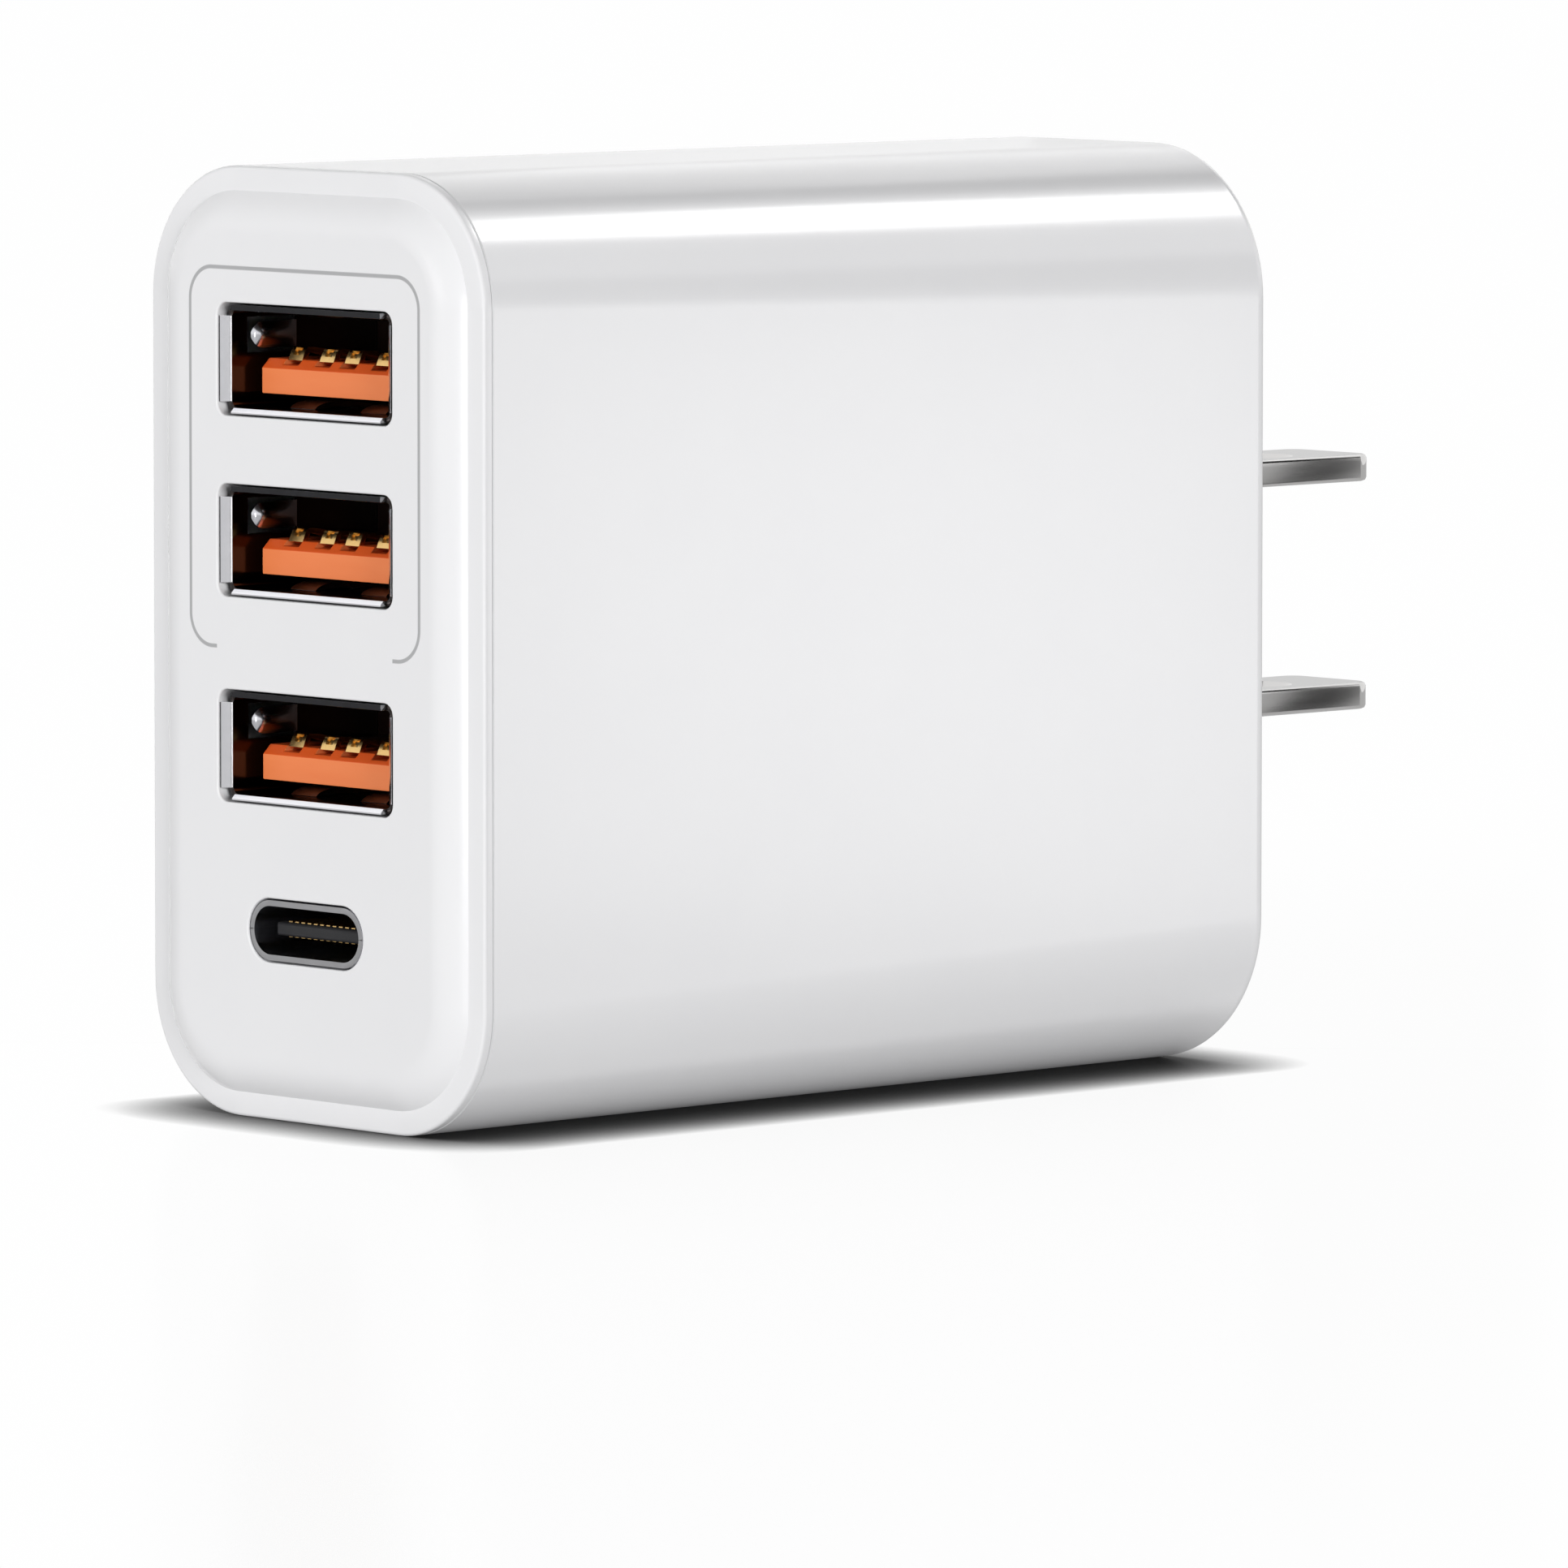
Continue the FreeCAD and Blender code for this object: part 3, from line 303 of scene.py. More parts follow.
def join(piece, others):
    """Make other pieces part of the first one's mesh."""
    deselect()
    for other in (piece, *others):
        other.select_set(True)
    bpy.context.view_layer.objects.active = piece
    bpy.ops.object.join()


def copy_of(piece, name, shift):
    """A copy with its own mesh, moved in its mesh."""
    twin = piece.copy()
    twin.data = piece.data.copy()
    twin.name = name
    twin.data.name = name
    bpy.context.scene.collection.objects.link(twin)
    with editing(twin, "VERT"):
        bpy.ops.mesh.select_all(action="SELECT")
        bpy.ops.transform.translate(value=shift)
    return twin


def smooth(piece):
    """Round faces shade smoothly, large flat faces stay flat."""
    take(piece)
    bpy.ops.object.shade_smooth_by_angle(angle=SMOOTH_ANGLE)
    apply_modifier(piece, "WEIGHTED_NORMAL", keep_sharp=True, weight=100)


def paint(piece, finishes, test):
    """Give a piece two finishes, the second one on the faces that pass a test."""
    for material in finishes:
        piece.data.materials.append(material)
    with editing(piece, "FACE"):
        pick(piece, "faces", test)
        piece.active_material_index = 1
        bpy.ops.object.material_slot_assign()


def rounded_block(name, low, high, radius, steps):
    """A block whose four edges along Y are round."""
    piece = block(name, low, high)
    with editing(piece, "EDGE"):
        pick(piece, "edges", along(1))
        bevel(radius, steps)
    return piece


def open_tube(name, low, high, radius, steps):
    """A rounded block without its two ends."""
    piece = rounded_block(name, low, high, radius, steps)
    with editing(piece, "FACE"):
        pick(piece, "faces", lambda face: abs(face.normal.y) > MOSTLY)
        bpy.ops.mesh.delete(type="ONLY_FACE")
    return piece


def reach_at(piece, place):
    """Half width of an edited sheet at a place along Y."""
    shape = bmesh.from_edit_mesh(piece.data)
    return max(vert.co.x for vert in shape.verts if near(vert.co.y, place))


def strip(name, width, length, rows, lift, nose=0, crown=0):
    """A flat sheet along Y from the origin, lifted row by row into a bow.

    A nose rounds its front end over that length. A crown drops its long edges by that share of the lift.
    """
    deselect()
    bpy.ops.mesh.primitive_grid_add(x_subdivisions=STRIP_COLUMNS, y_subdivisions=rows, size=1,
                                    location=(0, length / 2, 0))
    piece = named(name)
    piece.scale = (width, length, 1)
    settle(piece)
    with editing(piece, "VERT"):
        for row in range(rows + 1):
            share = row / rows
            place = length * share
            pick(piece, "verts", lambda vert: near(vert.co.y, place))
            bpy.ops.transform.translate(value=(0, 0, lift(share)))
            back = nose - place
            if back > 0:
                narrowing = max(math.sqrt(1 - (back / nose) ** 2), NOSE_LEAST_WIDTH)
                bpy.ops.transform.resize(value=(narrowing, 1, 1), center_override=(0, place, 0))
            if crown:
                for column, fall in CROWN_FALLS:
                    pick(piece, "verts", lambda vert: near(vert.co.y, place)
                         and abs(abs(vert.co.x) / reach_at(piece, place) - column) < COLUMN_TOLERANCE)
                    bpy.ops.transform.translate(value=(0, 0, -crown * fall * lift(share)))
    return piece


# Casing

def main_housing():
    """Hollow sleeve, rounder at the back, with a seam chamfer, blade slots, ribs and a fence."""
    low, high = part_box("main_housing")
    piece = rounded_block("housing_sleeve", low, high, CORNER_RADIUS, CORNER_STEPS)
    growth = BACK_CORNER_RADIUS / CORNER_RADIUS
    reach = CORNER_RADIUS + TOUCH
    with editing(piece, "VERT"):
        for across in (low.x, high.x):
            for level in (low.z, high.z):
                pick(piece, "verts", lambda vert: near(vert.co.y, high.y)
                     and abs(vert.co.x - across) < reach and abs(vert.co.z - level) < reach)
                bpy.ops.transform.resize(value=(growth, 1, growth), center_override=(across, high.y, level))
    with editing(piece, "EDGE"):
        pick(piece, "edges", at(1, high.y))
        bevel(BACK_EDGE_RADIUS, steps=6)
        pick(piece, "edges", at(1, low.y))
        bevel(SEAM_BEVEL, steps=1)
    with editing(piece, "FACE"):
        pick(piece, "faces", at(1, low.y))
        bpy.ops.mesh.inset(thickness=WALL - SEAM_BEVEL)
        extrude(y=high.y - BACK_WALL - low.y)
    for side in SIDES:
        rib_low = (low.x + WALL / 2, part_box("port_board")[1].y, side * RIB_LEVEL - RIB_WALL / 2)
        rib_high = (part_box("main_board")[0].x, high.y - BACK_WALL / 2, side * RIB_LEVEL + RIB_WALL / 2)
        combine(piece, block("rib", rib_low, rib_high), "UNION")
    combine(piece, carrier_fence(high.y - BACK_WALL), "UNION")
    for node in ("upper_blade", "lower_blade"):
        blade_low, blade_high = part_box(node)
        slot_low = (-BLADE_WIDTH / 2 - BLADE_SLOT_GAP, -2 * BACK_WALL, blade_low.z - BLADE_SLOT_GAP)
        slot_high = (BLADE_WIDTH / 2 + BLADE_SLOT_GAP, BACK_WALL, blade_high.z + BLADE_SLOT_GAP)
        combine(piece, block("slot_tool", slot_low, slot_high), "DIFFERENCE")
    smooth(piece)
    return piece


def carrier_fence(wall_face):
    """Low wall round the blade carrier."""
    low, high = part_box("blade_carrier")
    grow = FENCE_GAP + FENCE_WALL
    piece = block("carrier_fence", (low.x - grow, wall_face - FENCE_DEPTH, low.z - grow),
                  (high.x + grow, wall_face + BACK_WALL / 2, high.z + grow))
    inner_low = (low.x - FENCE_GAP, wall_face - 2 * FENCE_DEPTH, low.z - FENCE_GAP)
    inner_high = (high.x + FENCE_GAP, wall_face, high.z + FENCE_GAP)
    combine(piece, block("fence_tool", inner_low, inner_high), "DIFFERENCE")
    return piece


def front_cover():
    """Rim, raised panel with round shoulders, lip behind and openings for the sockets."""
    low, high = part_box("front_cover")
    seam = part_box("main_housing")[0].y
    rim = seam - RIM_THICKNESS
    piece = rounded_block("socket_cover", (low.x, rim, low.z), (high.x, seam, high.z),
                          CORNER_RADIUS, CORNER_STEPS)
    with editing(piece, "EDGE"):
        pick(piece, "edges", at(1, rim))
        bevel(RIM_EDGE_RADIUS, steps=4)
    with editing(piece, "FACE"):
        pick(piece, "faces", lambda face: at(1, rim)(face) and face.normal.y < -WHOLLY)
        bpy.ops.mesh.inset(thickness=RIM_WIDTH - RIM_EDGE_RADIUS)
        raise_shoulder(rim - low.y)
        pick(piece, "faces", at(1, seam))
        bpy.ops.mesh.inset(thickness=SEAM_DEPTH)
    with editing(piece, "VERT"):
        pick(piece, "verts", lambda vert: near(vert.co.y, seam)
             and any(abs(face.normal.y) < HALFWAY for face in vert.link_faces))
        bpy.ops.transform.translate(value=(0, -SEAM_GAP, 0))
    with editing(piece, "FACE"):
        pick(piece, "faces", at(1, seam))
        bpy.ops.mesh.inset(thickness=WALL + LIP_GAP - SEAM_DEPTH)
        bpy.ops.mesh.inset(thickness=LIP_WALL)
        pick(piece, "faces", lambda face: at(1, seam)(face) and on_lip(face, high))
        extrude(y=high.y - seam)
    for number in WIDE_SOCKETS:
        tool = opening_tool(f"usb_a_shell_{number}", low.y, WIDE_SHELL_CORNER + OPENING_GAP, steps=8)
        combine(piece, tool, "DIFFERENCE")
    shell_low, shell_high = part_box("usb_c_shell")
    small_radius = (shell_high.z - shell_low.z) / 2 + OPENING_GAP - OVAL_FLAT
    combine(piece, opening_tool("usb_c_shell", low.y, small_radius, OVAL_STEPS), "DIFFERENCE")
    front = max(vert.co.y for vert in piece.data.vertices if vert.co.y < low.y + TOUCH)
    with editing(piece, "EDGE"):
        pick(piece, "edges", lambda edge: at(1, front)(edge) and edge.calc_face_angle(0) > OPENING_ANGLE)
        bevel(OPENING_EDGE, steps=3)
    smooth(piece)
    return piece


def raise_shoulder(rise):
    """Raise the selected panel in small steps along the shoulder's arc."""
    foot = math.acos(1 - rise / SHOULDER_RADIUS)
    angles = [foot * (1 - step / SHOULDER_STEPS) for step in range(SHOULDER_STEPS + 1)]
    for outer, inner in zip(angles, angles[1:]):
        bpy.ops.mesh.inset(thickness=SHOULDER_RADIUS * (math.sin(outer) - math.sin(inner)),
                           depth=SHOULDER_RADIUS * (math.cos(inner) - math.cos(outer)))


def on_lip(face, high):
    """Test for the faces between the two outlines of the cover's lip."""
    outside = high.x - WALL - LIP_GAP
    corner = high.x - CORNER_RADIUS
    centre = face.calc_center_median()
    over = Vector((max(abs(centre.x) - corner, 0), max(abs(centre.z) - high.z + high.x - corner, 0)))
    return outside - LIP_WALL - TOUCH < corner + over.length < outside + TOUCH and len(face.verts) == 4


def opening_tool(node, front, radius, steps):
    """Rounded bar that cuts one socket opening."""
    low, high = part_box(node)
    gap = Vector((OPENING_GAP, 0, OPENING_GAP))
    low = low - gap
    low.y = front - 2 * CUT_OVERRUN
    return rounded_block("opening_tool", low, high + gap, radius, steps)


# Mains plug

def blade(name, node):
    """Flat blade with round tip corners, bevelled edges, a countersunk hole and a wide stop."""
    low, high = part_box(node)
    half = BLADE_WIDTH / 2
    shoulder = low.y + BLADE_STOP
    piece = block(name, (-half, shoulder, low.z), (half, high.y, high.z))
    with editing(piece, "EDGE"):
        pick(piece, "edges", lambda edge: along(2)(edge) and at(1, high.y)(edge))
        bevel(BLADE_CORNER, steps=10)
    hole_centre = Vector((0, BLADE_HOLE_PLACE, (low.z + high.z) / 2))
    deselect()
    bpy.ops.mesh.primitive_cylinder_add(vertices=BLADE_HOLE_SIDES, radius=BLADE_HOLE_RADIUS,
                                        depth=HOLE_TOOL_LENGTH, location=hole_centre)
    combine(piece, named("hole_tool"), "DIFFERENCE")

    def on_hole(edge):
        middle = (edge.verts[0].co + edge.verts[1].co) / 2 - hole_centre
        return Vector((middle.x, middle.y)).length < BLADE_HOLE_RADIUS + TOUCH

    def sharp(edge):
        return not along(2)(edge) and edge.calc_face_angle(0) > BLADE_ANGLE

    with editing(piece, "EDGE"):
        pick(piece, "edges", lambda edge: on_hole(edge) and sharp(edge))
        bevel(BLADE_COUNTERSINK, steps=1)
        pick(piece, "edges", lambda edge: sharp(edge) and not at(1, shoulder)(edge))
        bevel(BLADE_EDGE, steps=2)
    with editing(piece, "FACE"):
        pick(piece, "faces", at(1, shoulder))
        extrude()
        bpy.ops.transform.resize(value=(high.x / half, 1, 1), center_override=(0, shoulder, 0))
        extrude(y=-BLADE_STOP)
    smooth(piece)
    return piece


# Wide sockets

def leaf(width, length, rise, place, turn, nose=0, crown=0):
    """Spring leaf, bowed near its free front end, then turned and set into its wall."""
    def lift(share):
        return rise * math.sin(math.pi * share ** LEAF_BOW_SKEW)
    piece = strip("leaf", width, length - LEAF_GAP, LEAF_ROWS, lift, nose, crown)
    thicken(piece, SHEET)
    piece.data.materials.append(FINISHES["socket_steel"])
    piece.location = place
    piece.rotation_euler = (0, math.radians(turn), 0)
    settle(piece)
    return piece


def flared_tube(low, high):
    """Steel tube with notched corners at its mouth, side lips that flare out and chamfers inside the lips."""
    half = high.x - FLARE
    root = low.y + FLARE_DEPTH
    floor_level = low.z + SHEET
    piece = open_tube("usb_a_shell_1_steel", (-half, low.y, low.z), (half, high.y, high.z),
                      WIDE_SHELL_CORNER, steps=6)

    def at_notch(face):
        in_front = face.calc_center_median().y < root
        return in_front and max(abs(face.normal.x), abs(face.normal.z)) < WHOLLY

    with editing(piece, "FACE"):
        bpy.ops.mesh.select_all(action="SELECT")
        bpy.ops.mesh.bisect(plane_co=(0, root, 0), plane_no=(0, 1, 0))
        pick(piece, "faces", at_notch)
        bpy.ops.mesh.delete(type="FACE")
    with editing(piece, "VERT"):
        for side in SIDES:
            pick(piece, "verts", lambda vert: near(vert.co.y, low.y) and near(vert.co.x, side * half))
            bpy.ops.transform.translate(value=(side * FLARE, 0, 0))
    thicken(piece, SHEET)
    with editing(piece, "VERT"):
        pick(piece, "verts", lambda vert: vert.co.y < low.y)
        bpy.ops.transform.resize(value=(1, 0, 1), center_override=(0, low.y, 0))

    def on_inner_lip(edge):
        if not at(1, low.y)(edge):
            return False
        beside = min(high.x - abs(vert.co.x) for vert in edge.verts)
        on_side = along(2)(edge) and SHEET / 2 < beside < FLARE
        return on_side or at(2, floor_level)(edge)

    with editing(piece, "EDGE"):
        pick(piece, "edges", on_inner_lip)
        bevel(INNER_LIP, steps=1)
    return piece


def wide_shell():
    """Folded steel shell with flared side lips and leaves in its floor, roof and sides."""
    low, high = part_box("usb_a_shell_1")
    level = (low.z + high.z) / 2
    inner_height = (high.z - low.z) / 2 - SHEET
    inner_half = high.x - FLARE - SHEET
    floor_level = low.z + SHEET
    leaf_front = low.y + LEAF_SETBACK
    side_front = low.y + SIDE_LEAF_SETBACK
    side_level = level + SIDE_LEAF_LEVEL
    piece = flared_tube(low, high)
    # Painted shade: the front edges above the floor are near black, and the rest of the steel darkens with
    # depth.
    paint(piece, (wide_socket_steel_painted_shade, painted_shade_edge_steel),
          lambda face: at(1, low.y)(face) and face.calc_center_median().z > floor_level)
    half_window = LEAF_WIDTH / 2 + LEAF_GAP
    for side in SIDES:
        across = side * LEAF_SPACING / 2
        tool = block("window_tool", (across - half_window, leaf_front, low.z - CUT_OVERRUN),
                     (across + half_window, leaf_front + LEAF_LENGTH, high.z + CUT_OVERRUN))
        combine(piece, tool, "DIFFERENCE")
    half_window = SIDE_LEAF_WIDTH / 2 + LEAF_GAP
    tool = block("window_tool", (low.x - CUT_OVERRUN, side_front, side_level - half_window),
                 (high.x + CUT_OVERRUN, side_front + SIDE_LEAF_LENGTH, side_level + half_window))
    combine(piece, tool, "DIFFERENCE")
    soften(piece, SHEET_EDGE)
    leaves = []
    for side in SIDES:
        for up, turn in ((-1, 0), (1, 180)):
            place = (side * LEAF_SPACING / 2, leaf_front + LEAF_GAP, level + up * inner_height)
            leaves.append(leaf(LEAF_WIDTH, LEAF_LENGTH, LEAF_RISE, place, turn))
        place = (side * inner_half, side_front + LEAF_GAP, side_level)
        leaves.append(leaf(SIDE_LEAF_WIDTH, SIDE_LEAF_LENGTH, SIDE_LEAF_RISE, place, -90 * side,
                           nose=SIDE_LEAF_WIDTH / 2, crown=SIDE_LEAF_CROWN))
    join(piece, leaves)
    smooth(piece)
    return piece


def wide_tongue():
    """Orange insulator: block at the rear, chamfered tongue with four contact grooves."""
    low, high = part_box("usb_a_tongue_1")
    level = (low.z + high.z) / 2
    shelf = high.y - TONGUE_BASE
    piece = block("usb_a_tongue_1_insulator", (-TONGUE_HALF_WIDTH, low.y, level - TONGUE_THICKNESS),
                  (TONGUE_HALF_WIDTH, shelf + TONGUE_BASE / 2, level))
    with editing(piece, "EDGE"):
        pick(piece, "edges", lambda edge: at(1, low.y)(edge) and at(2, level)(edge))
        bevel(TONGUE_CHAMFER, steps=1)
    for across in CONTACT_PLACES:
        tool = block("groove_tool", (across - GROOVE_HALF_WIDTH, low.y - CUT_OVERRUN, level - GROOVE_DEPTH),
                     (across + GROOVE_HALF_WIDTH, high.y + CUT_OVERRUN, level + CUT_OVERRUN))
        combine(piece, tool, "DIFFERENCE")
    soften(piece, TONGUE_EDGE / 2)
    base = rounded_block("tongue_base", (low.x, shelf, low.z), high, SHEET, steps=4)
    combine(piece, base, "UNION")
    # Painted shade: upward faces take the darker orange, and both finishes darken with depth.
    paint(piece, (wide_socket_orange_painted_shade, tops_and_depth_painted_shade_orange), lambda face: face.normal.z > HALFWAY)
    smooth(piece)
    return piece


def wide_contacts():
    """Four gilt strips with curled fronts that stand out of their grooves, each with a pressed dimple."""
    low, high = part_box("usb_a_contacts_1")
    length = high.y - low.y

    def lift(share):
        back = share * length
        if back < CONTACT_FRONT:
            return CONTACT_RISE * math.sin(math.pi / 2 * back / CONTACT_FRONT)
        fall = min((back - CONTACT_FRONT) / CONTACT_BEND, 1)
        return CONTACT_RISE * (1 + math.cos(math.pi * fall)) / 2

    first = strip("usb_a_contacts_1_gilt", CONTACT_WIDTH, length, CONTACT_ROWS, lift)

    def on_dimple(face):
        centre = face.calc_center_median()
        in_length = DIMPLE_START < centre.y / CONTACT_FRONT < DIMPLE_END
        return abs(centre.x) < CONTACT_WIDTH / 4 and in_length

    with editing(first, "FACE"):
        pick(first, "faces", on_dimple)
        bpy.ops.mesh.inset(thickness=CONTACT_DIMPLE / 3, depth=-CONTACT_DIMPLE)
    thicken(first, CONTACT_THICKNESS)
    first.location = (CONTACT_PLACES[0], low.y, low.z + CONTACT_THICKNESS)
    settle(first)
    others = []
    for across in CONTACT_PLACES[1:]:
        others.append(copy_of(first, "contact", (across - CONTACT_PLACES[0], 0, 0)))
    join(first, others)
    smooth(first)
    return first


# Small socket

def small_shell():
    """Drawn oval steel shell with a round, brushed front edge in a darker grey that is partly painted shade
    for the shaded wall of the cover's opening.
    """
    low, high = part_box("usb_c_shell")
    radius = (high.z - low.z) / 2 - OVAL_FLAT
    piece = open_tube("usb_c_shell_steel", low, high, radius, OVAL_STEPS)
    thicken(piece, SHEET)
    soften(piece, 2 * SHEET_EDGE, steps=3)
    # Painted shade: the front edge takes the darker grey steel.
    paint(piece, (FINISHES["socket_steel"], grey_edge_steel_painted_shade),
          lambda face: face.calc_center_median().y < low.y + 2 * SHEET_EDGE)
    smooth(piece)
    return piece


def small_tongue():
    """Black insulator: oval base and a thin tongue with a round nose."""
    low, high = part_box("usb_c_tongue")
    level = (low.z + high.z) / 2
    half = SMALL_TONGUE_THICKNESS / 2
    piece = block("usb_c_tongue_insulator", (-SMALL_TONGUE_HALF_WIDTH, low.y, level - half),
                  (SMALL_TONGUE_HALF_WIDTH, high.y - SMALL_TONGUE_BASE / 2, level + half))
    with editing(piece, "EDGE"):
        pick(piece, "edges", at(1, low.y))
        bevel(SMALL_TONGUE_EDGE, steps=4)
    radius = (high.z - low.z) / 2 - OVAL_FLAT
    base = rounded_block("tongue_base", (low.x, high.y - SMALL_TONGUE_BASE, low.z), high, radius, OVAL_STEPS)
    combine(piece, base, "UNION")
    smooth(piece)
    return piece


def small_contacts():
    """Two rows of gilt strips on the thin tongue."""
    low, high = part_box("usb_c_contacts")
    half = SMALL_CONTACT_WIDTH / 2
    outer = -SMALL_CONTACT_PITCH * (SMALL_CONTACTS_IN_ROW - 1) / 2
    first = block("usb_c_contacts_gilt", (outer - half, low.y, high.z - SMALL_CONTACT_THICKNESS),
                  (outer + half, high.y, high.z))
    with editing(first, "EDGE"):
        pick(first, "edges", lambda edge: at(2, high.z)(edge) and at(1, low.y)(edge))
        bevel(SMALL_CONTACT_NOSE, steps=3)
    others = []
    drop = low.z - high.z + SMALL_CONTACT_THICKNESS
    for step in range(SMALL_CONTACTS_IN_ROW):
        for fall in (0, drop):
            if step or fall:
                others.append(copy_of(first, "contact", (step * SMALL_CONTACT_PITCH, 0, fall)))
    join(first, others)
    smooth(first)
    return first


# Finishes

COLOUR = "NodeSocketColor"
NUMBER = "NodeSocketFloat"
VECTOR = "NodeSocketVector"

# Places of the colour sockets on a Mix node
MIX_FIRST = 6
MIX_SECOND = 7
MIX_RESULT = 2

MIDDLE_NOISE = 5.3
FINE_NOISE = 31.0
MIDDLE_RELIEF = 0.4
GRAIN_HEIGHT = 0.02 * MM
COAT_ROUGHNESS = 0.16
INK_GREY = (0.42, 0.42, 0.43, 1)


def link(tree, source, target):
    """Join two sockets."""
    tree.links.new(source, target)


def feed(tree, term, target):
    """Join a socket to another one, or give it a fixed value."""
    if isinstance(term, bpy.types.NodeSocket):
        link(tree, term, target)
    else:
        target.default_value = term


def calc(tree, operation, *terms):
    """Math node on sockets and numbers."""
    made = tree.nodes.new("ShaderNodeMath")
    made.operation = operation
    for target, term in zip(made.inputs, terms):
        feed(tree, term, target)
    return made.outputs[0]


def mix_colour(tree, mask, first, second):
    """Mix node between two colours or sockets."""
    made = tree.nodes.new("ShaderNodeMix")
    made.data_type = "RGBA"
    link(tree, mask, made.inputs["Factor"])
    feed(tree, first, made.inputs[MIX_FIRST])
    feed(tree, second, made.inputs[MIX_SECOND])
    return made.outputs[MIX_RESULT]


def noise(tree, place, scale, detail):
    """Noise node at a place, with a fixed or a linked scale."""
    made = tree.nodes.new("ShaderNodeTexNoise")
    made.inputs["Detail"].default_value = detail
    link(tree, place, made.inputs["Vector"])
    feed(tree, scale, made.inputs["Scale"])
    return made.outputs["Fac"]


def soft_step(tree, value, start, end):
    """Rise from 0 at the start to 1 at the end."""
    made = tree.nodes.new("ShaderNodeMapRange")
    made.interpolation_type = "SMOOTHSTEP"
    link(tree, value, made.inputs["Value"])
    feed(tree, start, made.inputs["From Min"])
    feed(tree, end, made.inputs["From Max"])
    return made.outputs["Result"]


def object_place(tree):
    """Place on the part, in its own frame."""
    return tree.nodes.new("ShaderNodeTexCoord").outputs["Object"]


def object_axes(tree):
    """The same place as separate X, Y and Z."""
    split = tree.nodes.new("ShaderNodeSeparateXYZ")
    link(tree, object_place(tree), split.inputs[0])
    return split.outputs


def new_group(name, inputs, outputs):
    """Node group with the sockets that it takes and gives."""
    tree = bpy.data.node_groups.new(name, "ShaderNodeTree")
    for direction, sockets in (("INPUT", inputs), ("OUTPUT", outputs)):
        for label, kind in sockets.items():
            tree.interface.new_socket(label, in_out=direction, socket_type=kind)
    given = tree.nodes.new("NodeGroupInput").outputs
    result = tree.nodes.new("NodeGroupOutput").inputs
    return tree, given, result


def add_group(tree, group, values):
    """Group node with its fixed values."""
    made = tree.nodes.new("ShaderNodeGroup")
    made.node_tree = group
    for label, value in values.items():
        made.inputs[label].default_value = value
    return made


def surface_group():
    """Uneven tone, uneven gloss and fine grain, for every finish."""
    takes = {"Colour": COLOUR, "Shade": COLOUR, "Stretch": VECTOR, "Scale": NUMBER,
             "Smooth": NUMBER, "Rough": NUMBER}
    gives = {"Colour": COLOUR, "Roughness": NUMBER, "Height": NUMBER}
    tree, given, result = new_group("surface_tone_and_grain", takes, gives)
    stretch = tree.nodes.new("ShaderNodeVectorMath")
    stretch.operation = "MULTIPLY"
    link(tree, object_place(tree), stretch.inputs[0])
    link(tree, given["Stretch"], stretch.inputs[1])
    place = stretch.outputs[0]
    broad = noise(tree, place, given["Scale"], detail=4)
    middle = noise(tree, place, calc(tree, "MULTIPLY", given["Scale"], MIDDLE_NOISE), detail=3)
    fine = noise(tree, place, calc(tree, "MULTIPLY", given["Scale"], FINE_NOISE), detail=2)
    tone = mix_colour(tree, broad, given["Colour"], given["Shade"])
    spread = calc(tree, "SUBTRACT", given["Rough"], given["Smooth"])
    gloss = calc(tree, "MULTIPLY_ADD", middle, spread, given["Smooth"])
    height = calc(tree, "MULTIPLY_ADD", middle, MIDDLE_RELIEF, fine)
    link(tree, tone, result["Colour"])
    link(tree, gloss, result["Roughness"])
    link(tree, height, result["Height"])
    return tree


def painted_depth_shade_group():
    """Painted shade: colour that darkens with depth behind the mouth of a socket."""
    takes = {"Colour": COLOUR, "Deep Colour": COLOUR, "Start": NUMBER, "End": NUMBER}
    tree, given, result = new_group("socket_depth_tint", takes, {"Colour": COLOUR})
    depth = soft_step(tree, object_axes(tree)["Y"], given["Start"], given["End"])
    painted_deep_shade = mix_colour(tree, depth, given["Colour"], given["Deep Colour"])
    link(tree, painted_deep_shade, result["Colour"])
    return tree


def painted_shade_inside(source, name, painted_deep_shade, start, end):
    """Copy of a finish with painted shade that darkens it between two depths behind the mouth of the sockets.
    """
    material = source.copy()
    material.name = name
    tree = material.node_tree
    base = tree.nodes["Principled BSDF"].inputs["Base Color"]
    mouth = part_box("usb_a_shell_1")[0].y
    painted_shade_node = add_group(tree, PAINTED_DEPTH_SHADE, {"Deep Colour": (*painted_deep_shade, 1), "Start": mouth + start, "End": mouth + end})
    link(tree, base.links[0].from_socket, painted_shade_node.inputs["Colour"])
    link(tree, painted_shade_node.outputs["Colour"], base)
    return material


def new_material(name):
    """Material with nodes, and its shader."""
    material = bpy.data.materials.new(name)
    material.use_nodes = True
    return material, material.node_tree.nodes["Principled BSDF"]


